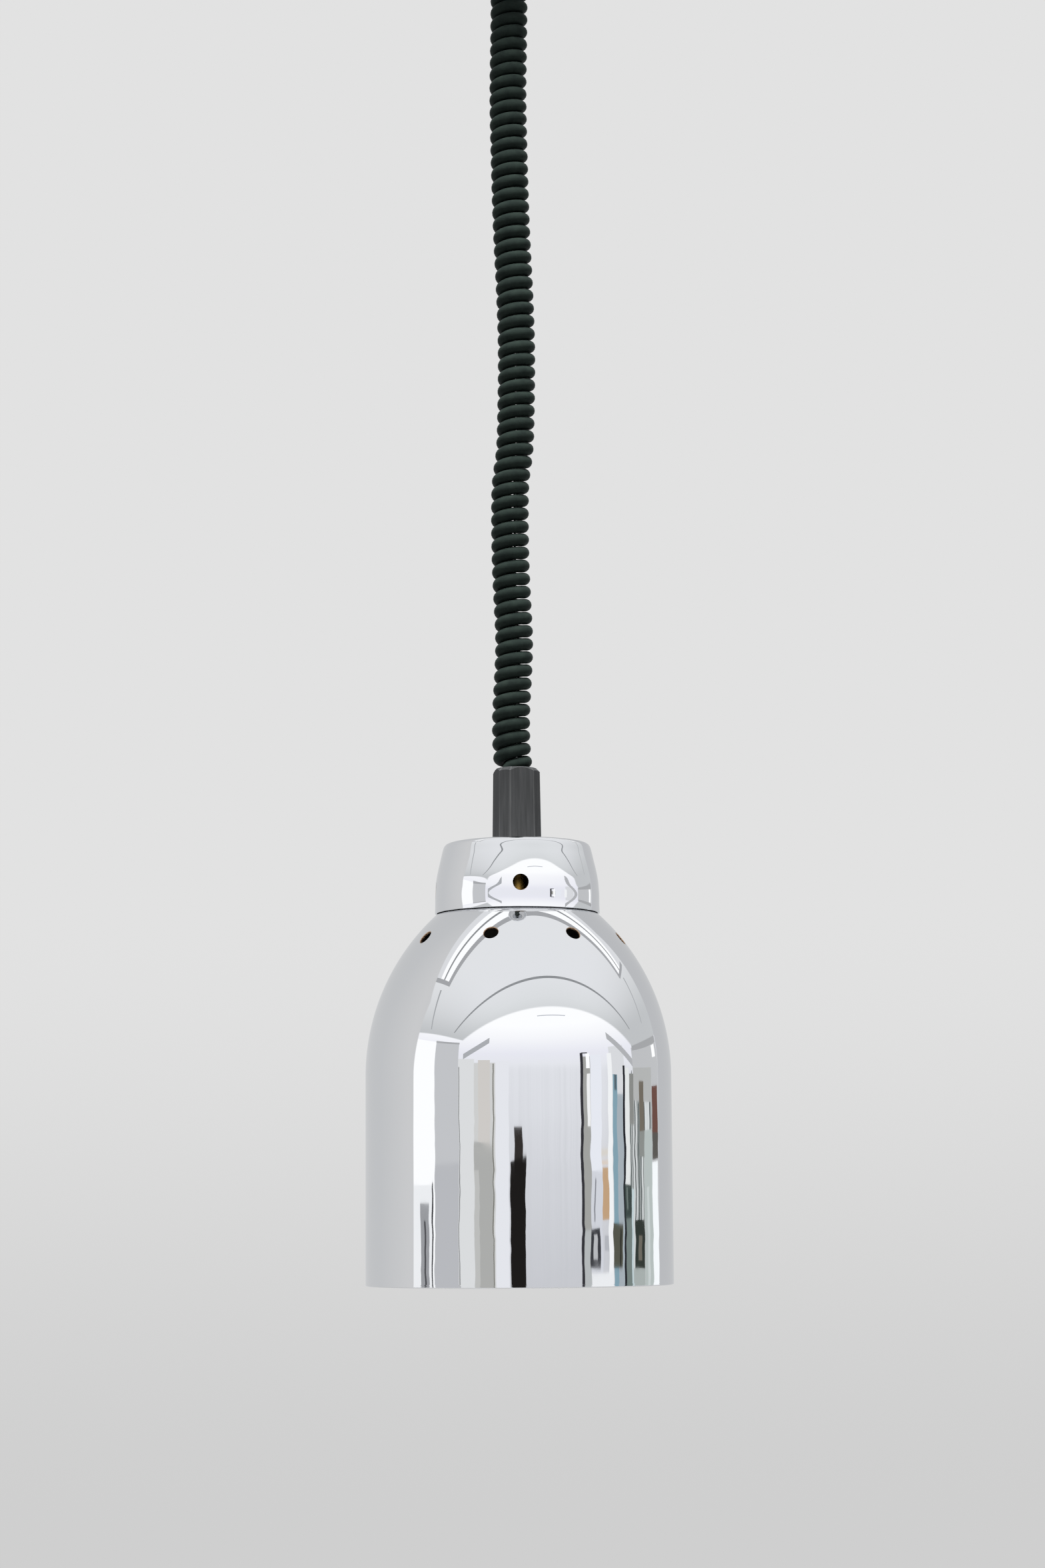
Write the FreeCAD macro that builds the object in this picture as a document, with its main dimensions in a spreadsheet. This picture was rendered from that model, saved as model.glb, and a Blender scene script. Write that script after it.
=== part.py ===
import FreeCAD, Part
import math
import os
from types import SimpleNamespace

import Sketcher

# Rise-and-fall food heat lamp: a chrome dome with a vented cap and a faceted grip, hung on a steel
# rope inside a curly flex from a ceiling cup that holds a spring reel.
# Frame: origin on the ceiling plane above the lamp, +Z up, front of the lamp towards -Y, millimetres.

Vec = FreeCAD.Vector
doc = FreeCAD.newDocument("HeatLamp")
sheet = doc.addObject("Spreadsheet::Sheet", "Sizes")

DRIVING_SIZES = (
    ("cup_radius", 62, "ceiling cup, outer radius"),
    ("cup_depth", 78, "ceiling cup, ceiling to its underside"),
    ("cup_wall", 1.2, "ceiling cup, spun wall"),
    ("cup_corner", 20, "ceiling cup, outer radius of the lower edge"),
    ("cup_shadow", 0.5, "gap between the cup rim and the ceiling"),
    ("plate_clear", 8.8, "gap between the edge of the ceiling plate and the cup wall"),
    ("plate_wall", 2, "ceiling plate, sheet thickness"),
    ("slot_inset", 10, "ceiling plate, middle of a slot inside the edge"),
    ("slot_width", 5, "ceiling plate, width of a slot"),
    ("slot_length", 12, "ceiling plate, length of a slot"),
    ("supply_hole", 7, "ceiling plate, radius of the supply cable hole"),
    ("supply_back", 24, "ceiling plate, supply hole behind the lamp axis"),
    ("tab_width", 16, "ceiling plate, width of the turned-down tabs"),
    ("tab_drop", 16, "ceiling plate, height of the turned-down tabs"),
    ("tab_clear", 1, "gap between a tab corner and the cup wall"),
    ("cup_screw", 2, "cup screw, shank radius"),
    ("cup_screw_head", 4, "cup screw, head radius"),
    ("cup_screw_head_depth", 2.6, "cup screw, head height"),
    ("cup_screw_drop", 9, "cup screw axis below the ceiling"),
    ("screw_clear", 0.15, "radial clearance of a screw in its hole"),
    ("seat_clear", 0.1, "gap between a part and the curved face that it seats on"),
    ("gland_drop", 20, "cord gland, length below the cup"),
    ("gland_radius", 16.5, "cord gland, radius at the cup"),
    ("gland_tip", 13.6, "cord gland, radius at the lower end"),
    ("gland_shank", 16, "cord gland, threaded length inside the cup, from the cup underside"),
    ("gland_shank_wall", 1.8, "cord gland, wall outside the lead hole"),
    ("gland_nut_width", 34, "gland nut, across the corners"),
    ("gland_nut_depth", 6, "gland nut, height"),
    ("guide_radius", 2.2, "rope guide, outer radius"),
    ("guide_flange", 3.6, "rope guide, flange radius"),
    ("guide_flange_depth", 1, "rope guide, flange thickness"),
    ("rope_diameter", 1.5, "support rope, diameter"),
    ("rope_clear", 0.3, "radial clearance of the rope in its guides"),
    ("cord_diameter", 6.9, "curly flex, outer diameter of the flex"),
    ("coil_bore", 4, "curly flex, inner radius of the coil"),
    ("coil_gap", 0.84, "curly flex, axial gap between turns"),
    ("coil_drop", 487, "distance from the gland to the grip at rest"),
    ("coil_lead", 3.5, "curly flex, height of the coil end above its seat"),
    ("tail_bend", 7.5, "curly flex, bend radius of the tails"),
    ("socket_clear", 0.8, "gap between a flex tail and the wall of its socket"),
    ("lead_clear", 0.05, "gap between the outer leads and the wall of their hole"),
    ("lead_radius", 0.8, "inner lead, outer radius"),
    ("lead_spacing", 1.66, "inner leads, centre distance in their row"),
    ("axle_drop", 33, "reel axle below the ceiling"),
    ("axle_radius", 3, "reel axle, radius"),
    ("axle_fit", 0.05, "running clearance on the reel axle"),
    ("axle_overhang", 3, "reel axle, length outside each cheek"),
    ("clip_radius", 5, "axle clip, outer radius"),
    ("clip_wall", 0.8, "axle clip, thickness"),
    ("clip_groove", 0.5, "axle clip, groove depth"),
    ("clip_mouth", 3.6, "axle clip, width of its mouth"),
    ("clip_clear", 0.1, "axle clip, gap to the cheek and in its groove"),
    ("drum_radius", 19.2, "reel drum, radius under the rope"),
    ("drum_flange", 26, "reel drum, flange radius"),
    ("drum_flange_wall", 1.6, "reel drum, flange thickness"),
    ("drum_web", 3, "reel drum, thickness of the closed side"),
    ("drum_rim", 3.7, "reel drum, wall between the rope and the spring"),
    ("rope_side", 1.1, "reel drum, rope axis to the nearer flange"),
    ("wrap_clear", 0.05, "gap between the wound rope and the drum"),
    ("wrap_gap", 0.5, "wound rope, gap between its turns"),
    ("wrap_half_turns", 15, "wound rope, number of half turns"),
    ("cover_wall", 1.6, "spring cover, thickness"),
    ("cover_lap", 2, "spring cover, overlap past the drum rim"),
    ("cover_screw", 1.2, "cover screw, shank radius"),
    ("cover_screw_head", 2.1, "cover screw, head radius"),
    ("cover_screw_head_depth", 1.3, "cover screw, head height"),
    ("cover_screw_length", 6, "cover screw, shank length"),
    ("spring_wall", 0.5, "balance spring, strip thickness"),
    ("spring_pitch", 1.1, "balance spring, pitch of its turns"),
    ("spring_clear", 0.3, "balance spring, gap to the drum and cover"),
    ("spring_seat", 0.02, "balance spring, gap to the axle"),
    ("frame_wall", 2, "reel frame, sheet thickness"),
    ("frame_width", 24, "reel frame, width of the cheeks"),
    ("frame_reach", 11, "reel frame, cheek length below the axle"),
    ("frame_side", 0.8, "reel frame, side gap to the drum and cover screws"),
    ("frame_bend", 2.6, "reel frame, outer bend radius"),
    ("frame_round", 9.4, "reel frame, rounding of the cheek ends"),
    ("rivet_radius", 2, "frame rivet, shank radius"),
    ("rivet_head", 3.6, "frame rivet, head radius"),
    ("rivet_head_depth", 1.6, "frame rivet, head height"),
    ("rivet_spacing", 14, "frame rivets, centre distance"),
    ("block_width", 34, "terminal block, length along Y"),
    ("block_depth", 16, "terminal block, size along X"),
    ("block_height", 15, "terminal block, height"),
    ("block_inset", 24, "terminal block, near face from the lamp axis"),
    ("block_edge", 1.5, "terminal block, rounded edges"),
    ("way_spacing", 10, "terminal block, distance between ways"),
    ("way_bore", 1.8, "terminal block, wire bore radius"),
    ("clamp_screw", 1.7, "terminal screw, radius"),
    ("clamp_screw_length", 5, "terminal screw, length"),
    ("clamp_clear", 0.1, "terminal screw, radial clearance"),
    ("grip_height", 44, "grip, height"),
    ("grip_base", 14.65, "grip, corner radius at the cap"),
    ("grip_top", 14, "grip, corner radius at the top"),
    ("grip_faces", 4, "grip, number of wide facets"),
    ("grip_wide", 60, "grip, arc of a wide facet in degrees"),
    ("grip_turn", 255.5, "grip, direction of its first corner in degrees"),
    ("grip_edge", 0.5, "grip, rounding of its edges"),
    ("grip_lip", 0.5, "grip, bevel of the top edge"),
    ("grip_floor", 6, "grip, thickness of the floor under the flex socket"),
    ("grip_chamber", 9.5, "grip, radius of the lower chamber"),
    ("bush_share", 0.37, "grip bush, share of the chamber height"),
    ("bush_clear", 0.05, "grip bush, gap to the grip"),
    ("ferrule_radius", 2.2, "rope ferrule, radius"),
    ("ferrule_share", 0.26, "rope ferrule, share of the chamber height"),
    ("nipple_radius", 6.5, "hanger nipple, outer radius"),
    ("nipple_bore", 5, "hanger nipple, inner radius"),
    ("thread_clear", 0.1, "radial clearance on the hanger nipple"),
    ("nut_width", 20, "hanger nut, across the corners"),
    ("nut_depth", 5, "hanger nut, height"),
    ("washer_radius", 10, "lock washer, radius"),
    ("washer_wall", 1, "lock washer, thickness"),
    ("cap_radius", 47.5, "cap, outer radius"),
    ("cap_height", 40.6, "cap, height"),
    ("cap_skirt", 17, "cap, height of the straight part"),
    ("cap_crown", 42.1, "cap, radius where the taper meets the top"),
    ("cap_break", 40, "cap, rounding where the taper starts"),
    ("cap_edge", 5.5, "cap, rounding of the top edge"),
    ("cap_wall", 1.2, "cap, wall"),
    ("cap_vent", 4.5, "cap, vent hole radius"),
    ("cap_vent_rise", 14, "cap, vent holes above the lower edge"),
    ("cap_vents", 4, "cap, number of vent holes"),
    ("cap_vent_turn", 272.6, "cap, direction of the front vent in degrees"),
    ("dome_radius", 87.5, "dome, outer radius"),
    ("dome_skirt", 118.35, "dome, height of the straight part"),
    ("dome_curve", 125, "dome, radius of the shoulder arc"),
    ("dome_wall", 1.2, "dome, wall"),
    ("dome_inset", 2.8, "dome, flange edge inside the cap wall"),
    ("dome_vent", 4.1, "dome, vent hole radius"),
    ("dome_vent_ring", 60.8, "dome, radius of the vent ring"),
    ("dome_vents", 8, "dome, number of vent holes"),
    ("dome_vent_turn", 256, "dome, direction of the first vent in degrees"),
    ("bridge_wall", 2, "shade bridge, strip thickness"),
    ("bridge_width", 22, "shade bridge, strip width"),
    ("bridge_bend", 3.2, "shade bridge, outer bend radius"),
    ("bridge_inset", 1, "shade bridge, foot ends inside the dome flange"),
    ("shade_screw", 2, "shade screw, shank radius"),
    ("shade_screw_head", 3.8, "shade screw, head radius"),
    ("shade_screw_head_depth", 2.4, "shade screw, head height"),
    ("shade_nut_width", 8, "shade nut, across the corners"),
    ("shade_nut_depth", 3.2, "shade nut, height"),
    ("hood_radius", 21, "lampholder hood, outer radius"),
    ("hood_height", 26, "lampholder hood, height"),
    ("hood_wall", 1, "lampholder hood, wall"),
    ("hood_boss", 9.5, "lampholder hood, radius of the threaded boss"),
    ("hood_boss_depth", 8, "lampholder hood, height of the threaded boss"),
    ("hood_edge", 3, "lampholder hood, rounding of the top edge"),
    ("holder_radius", 22.5, "lampholder, outer radius"),
    ("holder_height", 38, "lampholder, height below the hood"),
    ("holder_spigot", 7, "lampholder, height of the spigot in the hood"),
    ("holder_clear", 0.1, "lampholder, gap between spigot and hood"),
    ("holder_edge", 2.5, "lampholder, rounding of the lower edge"),
    ("holder_cavity", 33, "lampholder, depth of the lamp socket"),
    ("holder_vent", 7.5, "gap between the lampholder and the dome opening"),
    ("shell_radius", 15, "lampholder shell, outer radius"),
    ("shell_wall", 0.5, "lampholder shell, wall"),
    ("shell_height", 28, "lampholder shell, height"),
    ("shell_clear", 0.15, "lampholder shell, gap to the porcelain"),
    ("shell_opening", 7, "lampholder shell, radius of the hole in its top"),
    ("contact_radius", 4.5, "centre contact, button radius"),
    ("contact_depth", 1, "centre contact, button height"),
    ("post_radius", 1.6, "terminal posts, radius"),
    ("post_head", 2.6, "terminal posts, head radius"),
    ("post_head_depth", 2.4, "terminal posts, head height"),
    ("post_offset", 11, "terminal posts, distance from the axis"),
    ("post_depth", 5, "terminal posts, length in the porcelain"),
    ("post_clear", 0.1, "terminal posts, radial clearance"),
    ("hood_screw", 1.4, "hood screw, shank radius"),
    ("hood_screw_length", 5, "hood screw, length in the porcelain"),
    ("hood_screw_head", 2.6, "hood screw, head radius"),
    ("hood_screw_head_depth", 1.4, "hood screw, head height"),
    ("hood_screw_rise", 3.5, "hood screw, height above the hood edge"),
    ("bulb_radius", 62.5, "bulb, largest radius"),
    ("bulb_length", 183, "bulb, face to tip"),
    ("bulb_face", 95, "bulb, radius of the face"),
    ("bulb_face_edge", 50, "bulb, radius where the face ends"),
    ("bulb_neck", 17, "bulb, neck radius"),
    ("bulb_neck_length", 17.8, "bulb, straight part of the neck"),
    ("bulb_wall", 1, "bulb, glass wall"),
    ("bulb_foot", 8, "bulb, glass inside the base"),
    ("bulb_taper", 14, "bulb, height of the taper from neck to base"),
    ("base_radius", 13.1, "bulb base, outer radius"),
    ("base_wall", 0.35, "bulb base, wall"),
    ("base_height", 20, "bulb base, height of the shell"),
    ("base_fit", 0.1, "bulb base, gap to the glass"),
    ("insulator_height", 4, "bulb insulator, height"),
    ("tip_radius", 4.6, "bulb tip, radius"),
    ("tip_height", 2.5, "bulb tip, height"),
    ("tip_gap", 0.1, "gap between the bulb tip and the centre contact"),
    ("stem_radius", 4, "bulb stem, radius"),
    ("stem_length", 62, "bulb stem, length below the neck"),
    ("filament_ring", 15, "filament, radius of its loop"),
    ("filament_wire", 0.6, "filament, radius of the coiled wire"),
    ("filament_drop", 8, "filament, below the stem"),
)

# Axis of the coil: sideways and fore-and-aft sway, and height above the grip, chosen by eye. The two
# ends stand off the rope so that both tails stay inside their sockets.
COIL_ROUTE = (
    (2.0, 2.4, 3.5), (0.9, 1.8, 9), (-1.5, 0.6, 20), (-2.8, -0.4, 34), (-1.5, -0.2, 55),
    (-0.6, 0.3, 76), (-1.7, 0.5, 98), (-2.7, 0.2, 122), (-2.9, -0.3, 150), (-2.5, -0.5, 171),
    (0.4, -0.2, 188), (1.1, 0.4, 210), (1.9, 0.6, 248), (0.9, 0.1, 285), (-1.0, -0.4, 325),
    (-1.9, -0.3, 366), (-2.6, 0.3, 405), (-1.8, 0.6, 440), (-1.3, 0.9, 468), (-1.6, 1.8, 477),
    (-2.0, 2.4, 483.5),
)
HALF_TURN = 180
QUARTERS = 4
PAST = 1           # cutters run this far past a face
HEAD_ROUND = 0.6   # share of a head that its rounding takes
TOUCH = 1e-3       # places closer than this are the same place


class Size:
    """A length with its number and the sheet formula that it comes from."""

    def __init__(self, value, text):
        self.value = value
        self.text = text

    def __add__(self, other):
        other = sized(other)
        return Size(self.value + other.value, f"({self.text} + {other.text})")

    def __sub__(self, other):
        other = sized(other)
        return Size(self.value - other.value, f"({self.text} - {other.text})")

    def __mul__(self, other):
        other = sized(other)
        return Size(self.value * other.value, f"({self.text} * {other.text})")

    def __truediv__(self, other):
        other = sized(other)
        return Size(self.value / other.value, f"({self.text} / {other.text})")

    def __radd__(self, other):
        return sized(other) + self

    def __rsub__(self, other):
        return sized(other) - self

    def __rmul__(self, other):
        return sized(other) * self

    def __neg__(self):
        return Size(-self.value, f"(0 - {self.text})")


def sized(number):
    if isinstance(number, Size):
        return number
    return Size(number, f"({number})")


def root(square):
    return Size(math.sqrt(square.value), f"sqrt({square.text})")


def whole(number):
    nudge = 1e-6
    return Size(math.floor(number.value + nudge), f"floor({number.text} + {nudge:f})")


def degrees(rise, run):
    angle = math.degrees(math.atan2(rise.value, run.value))
    return Size(angle, f"atan({rise.text} / {run.text})")


def fill_sheet():
    named = {}
    for row, (alias, number, note) in enumerate(DRIVING_SIZES, start=1):
        sheet.set(f"A{row}", note)
        sheet.set(f"B{row}", str(number))
        sheet.setAlias(f"B{row}", alias)
        named[alias] = Size(number, f"Sizes.{alias}")
    doc.recompute()
    return SimpleNamespace(**named)


size = fill_sheet()


def bind(obj, prop, length):
    obj.setExpression(prop, sized(length).text)


def place(obj, x=0, y=0, z=0, axis=None, angle=0):
    if axis is not None:
        turn = FreeCAD.Rotation(Vec(*axis), sized(angle).value)
        obj.Placement = FreeCAD.Placement(Vec(), turn)
    for name, length in (("x", x), ("y", y), ("z", z)):
        if sized(length).value or isinstance(length, Size):
            bind(obj, f"Placement.Base.{name}", length)
    return obj


def cylinder(name, radius, height, **where):
    solid = doc.addObject("Part::Cylinder", name)
    bind(solid, "Radius", radius)
    bind(solid, "Height", height)
    return place(solid, **where)


def box(name, length, width, height, **where):
    solid = doc.addObject("Part::Box", name)
    bind(solid, "Length", length)
    bind(solid, "Width", width)
    bind(solid, "Height", height)
    return place(solid, **where)


def drill(name, radius, low, high, **where):
    """Upright cutter that runs past both faces of a wall."""
    return cylinder(name, radius, high - low + 2 * PAST, z=low - PAST, **where)


def group(name, members):
    several = doc.addObject("Part::Compound", name)
    several.Links = members
    return several


def fuse(name, members):
    joined = doc.addObject("Part::MultiFuse", name)
    joined.Shapes = members
    return joined


def cut(name, base, tools):
    rest = doc.addObject("Part::Cut", name)
    rest.Base = base
    rest.Tool = tools[0] if len(tools) == 1 else group(name + "_tools", tools)
    return rest


def corner(across, up, soft=None, arc=None):
    # soft rounds this corner; arc bends the side that leaves it, positive with its centre on the left.
    return SimpleNamespace(across=sized(across), up=sized(up), soft=soft, arc=arc)


def new_body(name):
    return doc.addObject("PartDesign::Body", name)


def origin_part(body, role):
    return next(part for part in body.Origin.OriginFeatures if part.Role == role)


def sketch_on(body, plane, name):
    sketch = body.newObject("Sketcher::SketchObject", name)
    sketch.AttachmentSupport = [(origin_part(body, plane), "")]
    sketch.MapMode = "FlatFace"
    return sketch


def unit(vector):
    longer = Vec(vector)
    longer.normalize()
    return longer


def sketch_arc(sketch, centre, start, end, leftward):
    first, last = (start, end) if leftward else (end, start)
    ring = Part.Circle(centre, Vec(0, 0, 1), (start - centre).Length)
    begin = math.atan2(first.y - centre.y, first.x - centre.x)
    finish = math.atan2(last.y - centre.y, last.x - centre.x)
    index = sketch.addGeometry(Part.ArcOfCircle(ring, begin, finish))
    return SimpleNamespace(index=index, start=1 if leftward else 2, end=2 if leftward else 1)


def fix(sketch, kind, name, length, *where):
    index = sketch.addConstraint(Sketcher.Constraint(kind, *where, sized(length).value))
    sketch.renameConstraint(index, name)
    if isinstance(length, Size) and "Sizes." in length.text:
        bind(sketch, f"Constraints.{name}", length)


def draw(sketch, corners):
    """Draw a closed outline with every corner and radius bound to the sheet."""
    count = len(corners)
    spots = [Vec(c.across.value, c.up.value, 0) for c in corners]
    entry = list(spots)
    leave = list(spots)
    rounds = {}
    for i, c in enumerate(corners):
        if c.soft is None:
            continue
        back = unit(spots[i - 1] - spots[i])
        onward = unit(spots[(i + 1) % count] - spots[i])
        half = back.getAngle(onward) / 2
        entry[i] = spots[i] + back * (c.soft.value / math.tan(half))
        leave[i] = spots[i] + onward * (c.soft.value / math.tan(half))
        middle = spots[i] + unit(back + onward) * (c.soft.value / math.sin(half))
        leftward = back.cross(onward).z < 0
        rounds[i] = sketch_arc(sketch, middle, entry[i], leave[i], leftward)
    sides = []
    for i, c in enumerate(corners):
        start, end = leave[i], entry[(i + 1) % count]
        if c.arc is None:
            index = sketch.addGeometry(Part.LineSegment(start, end))
            sides.append(SimpleNamespace(index=index, start=1, end=2))
            continue
        chord = end - start
        side = unit(Vec(-chord.y, chord.x, 0)) * (1 if c.arc.value > 0 else -1)
        reach = math.sqrt(c.arc.value ** 2 - (chord.Length / 2) ** 2)
        middle = (start + end) * 0.5 + side * reach
        sides.append(sketch_arc(sketch, middle, start, end, c.arc.value > 0))
    for i, c in enumerate(corners):
        before, after = sides[i - 1], sides[i]
        if i in rounds:
            bend = rounds[i]
            point = sketch.addGeometry(Part.Point(spots[i]), True)
            pin = (point, 1)
            for one, other in (((before.index, before.end), (bend.index, bend.start)),
                               ((bend.index, bend.end), (after.index, after.start))):
                sketch.addConstraint(Sketcher.Constraint("Tangent", *one, *other))
            sketch.addConstraint(Sketcher.Constraint("PointOnObject", *pin, before.index))
            sketch.addConstraint(Sketcher.Constraint("PointOnObject", *pin, after.index))
            fix(sketch, "Radius", f"round_{i}", c.soft, bend.index)
        else:
            pin = (after.index, after.start)
            sketch.addConstraint(Sketcher.Constraint("Coincident", before.index, before.end, *pin))
        fix(sketch, "DistanceX", f"across_{i}", c.across, -1, 1, *pin)
        fix(sketch, "DistanceY", f"up_{i}", c.up, -1, 1, *pin)
        if c.arc is not None:
            bow = c.arc if c.arc.value > 0 else -c.arc
            fix(sketch, "Radius", f"bow_{i}", bow, after.index)


def turned(name, corners, **where):
    body = new_body(name)
    sketch = sketch_on(body, "XZ_Plane", name + "_outline")
    draw(sketch, corners)
    turning = body.newObject("PartDesign::Revolution", name + "_turning")
    turning.Profile = sketch
    turning.ReferenceAxis = (sketch, ["V_Axis"])
    turning.Angle = 360
    body.Tip = turning
    place(body, **where)
    return body


def padded(name, plane, corners, width, **where):
    body = new_body(name)
    sketch = sketch_on(body, plane, name + "_outline")
    draw(sketch, corners)
    pad = body.newObject("PartDesign::Pad", name + "_pad")
    pad.Profile = sketch
    pad.SideType = "Symmetric"
    bind(pad, "Length", width)
    body.Tip = pad
    place(body, **where)
    return body


def ring_of_holes(body, name, radius, length, count, tilt, **where):
    """Drill one hole through a turned wall and repeat it round the axis."""
    drill = body.newObject("PartDesign::SubtractiveCylinder", name + "_drill")
    bind(drill, "Radius", radius)
    bind(drill, "Height", length)
    place(drill, axis=(0, 1, 0), angle=tilt, **where)
    bind(drill, "Placement.Rotation.Angle", tilt)
    pattern = body.newObject("PartDesign::PolarPattern", name + "_pattern")
    pattern.Originals = [drill]
    pattern.Axis = (origin_part(body, "Z_Axis"), [""])
    pattern.Angle = 360
    bind(pattern, "Occurrences", count)
    body.Tip = pattern


def spread(name, obj, spots, axis=(0, 0, 1), turns=None):
    """Set out copies of one fastener and keep them as one node."""
    copies = []
    for i, (x, y, z) in enumerate(spots):
        copy = doc.addObject("Part::Compound", f"{name}_{i}")
        copy.Links = [obj]
        angle = turns[i] if turns else 0
        copies.append(place(copy, x=x, y=y, z=z, axis=axis, angle=angle))
    return group(name, copies)


def arc_edge(start, heading, end):
    chord = end - start
    along = unit(chord)
    side = heading - along * heading.dot(along)
    if side.Length < TOUCH:
        return Part.LineSegment(start, end).toShape()
    lean = math.acos(max(-1.0, min(1.0, heading.dot(along))))
    middle = (start + end) * 0.5 + unit(side) * (chord.Length / 2 * math.tan(lean / 2))
    return Part.Arc(start, middle, end).toShape()


def biarc(start, heading, end, arrival):
    """Join two points with two arcs that share a tangent where they meet."""
    chord = end - start
    both = heading + arrival
    spare = 2 * (1 - heading.dot(arrival))
    pull = chord.dot(both)
    reach = (math.sqrt(pull * pull + spare * chord.dot(chord)) - pull) / spare
    meet = (start + heading * reach + end - arrival * reach) * 0.5
    return [arc_edge(start, heading, meet), arc_edge(end, -arrival, meet)]


def through(nodes):
    edges = []
    for (start, heading), (end, arrival) in zip(nodes, nodes[1:]):
        edges += biarc(start, heading, end, arrival)
    return edges


def tube(edges, radius, start, heading):
    path = Part.Wire(Part.__sortEdges__(edges))
    section = Part.Wire([Part.Circle(start, heading, radius).toShape()])
    return path, path.makePipeShell([section], True, False)


def rounded_path(points, bend):
    """Straight runs through the points, joined by tangent arcs."""
    edges = []
    last = points[0]
    for before, here, after in zip(points, points[1:], points[2:]):
        back = unit(before - here)
        onward = unit(after - here)
        half = back.getAngle(onward) / 2
        reach = bend / math.tan(half)
        start = here + back * reach
        end = here + onward * reach
        middle = here + unit(back + onward) * (bend / math.sin(half) - bend)
        edges += [Part.LineSegment(last, start).toShape(), Part.Arc(start, middle, end).toShape()]
        last = end
    return edges + [Part.LineSegment(last, points[-1]).toShape()]


def feature(name, shape):
    obj = doc.addObject("Part::Feature", name)
    obj.Shape = shape
    return obj


def report_tube(name, path, solid, radius, turn_length=None):
    expected = math.pi * radius ** 2 * path.Length
    print(f"{name}: length {path.Length:.1f}, volume {solid.Volume:.1f} of {expected:.1f}")
    if turn_length is None:
        return
    points = path.discretize(Distance=radius / 2)
    per_turn = turn_length * (len(points) - 1) / path.Length
    nearest = int(0.5 * per_turn)
    furthest = int(1.5 * per_turn)
    least = min((points[i] - points[j]).Length
                for i in range(len(points))
                for j in range(i + nearest, min(i + furthest, len(points))))
    print(f"{name}: least gap to itself {least - 2 * radius:.2f}")


# Heights of the main seats, from the ceiling down.
cup_inside = size.cup_radius - size.cup_wall
plate_radius = cup_inside - size.plate_clear
cup_floor = -size.cup_depth
gland_end = cup_floor - size.gland_drop
grip_top = gland_end - size.coil_drop
cap_top = grip_top - size.grip_height
cap_rim = cap_top - size.cap_height

# The coil: its mean radius, its turns and the tails that drop into the two sockets.
cord_radius = size.cord_diameter / 2
coil_radius = size.coil_bore + cord_radius
coil_height = size.coil_drop - 2 * size.coil_lead
coil_turns = whole(coil_height / (size.cord_diameter + size.coil_gap))
coil_pitch = coil_height / coil_turns
coil_round = coil_radius * (2 * math.pi)
coil_turn = root(coil_round * coil_round + coil_pitch * coil_pitch)
tail_across = size.tail_bend * (1 - coil_pitch / coil_turn)
tail_rise = size.tail_bend * (coil_round / coil_turn)
socket_depth = tail_rise + size.cord_diameter - size.coil_lead
grip_tail = (COIL_ROUTE[0][0] - tail_across, COIL_ROUTE[0][1] - coil_radius)
gland_tail = (COIL_ROUTE[-1][0] + tail_across, COIL_ROUTE[-1][1] - coil_radius)
tail_offset = root(grip_tail[0] * grip_tail[0] + grip_tail[1] * grip_tail[1])
socket_radius = tail_offset + cord_radius + size.socket_clear
lead_hole = size.lead_spacing + size.lead_radius + size.lead_clear
chamber_height = size.grip_height - socket_depth - size.grip_floor
bush_top = cap_top + chamber_height * size.bush_share
ferrule_low = cap_top + chamber_height * (1 - size.ferrule_share)
gland_shank_radius = tail_offset + lead_hole + size.gland_shank_wall
rope_radius = size.rope_diameter / 2
rope_bore = rope_radius + size.rope_clear

# The dome, with its arc tangent to the straight skirt.
arc_centre = size.dome_radius - size.dome_curve
cap_bore = size.cap_radius - size.cap_wall


def shoulder(across, inset=0):
    radius = size.dome_curve - inset
    return size.dome_skirt + root(radius * radius - (across - arc_centre) * (across - arc_centre))


flange_edge = cap_bore - size.dome_inset
flange_top = shoulder(flange_edge)
dome_opening = size.holder_radius + size.holder_vent
dome_rim = cap_rim - size.seat_clear - shoulder(cap_bore)
flange_level = dome_rim + flange_top

# The reel: its axis stands one winding radius beside the rope, which leaves it straight down.
winding_radius = size.drum_radius + size.wrap_clear + rope_radius
wrap_pitch = size.rope_diameter + size.wrap_gap
drum_width = 2 * size.rope_side + size.wrap_half_turns * wrap_pitch / 2
drum_length = drum_width + 2 * size.drum_flange_wall
axle_across = -winding_radius
drum_back = -(drum_length - size.drum_flange_wall - size.rope_side)
cavity_radius = size.drum_radius - size.drum_rim
cheek_near = drum_back - size.cover_wall - size.cover_screw_head_depth - size.frame_side
cheek_far = drum_back + drum_length + size.frame_side
rivet_middle = (cheek_near + cheek_far) / 2
reel_place = {"x": axle_across, "z": -size.axle_drop, "axis": (1, 0, 0), "angle": -90}

# The stack under the cap top: bridge, washer, nut, hood and lampholder, then the bulb.
bridge_top = cap_top - size.cap_wall
washer_top = bridge_top - size.bridge_wall
nut_top = washer_top - size.washer_wall
hood_top = nut_top - size.nut_depth
hood_rim = hood_top - size.hood_height
holder_rim = hood_rim - size.holder_height
holder_floor = holder_rim + size.holder_cavity
spigot_top = hood_rim + size.holder_spigot
bulb_tip_level = holder_floor - size.contact_depth - size.tip_gap
bulb_level = bulb_tip_level - size.bulb_length
nipple_hole = size.nipple_radius + size.thread_clear


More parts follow.
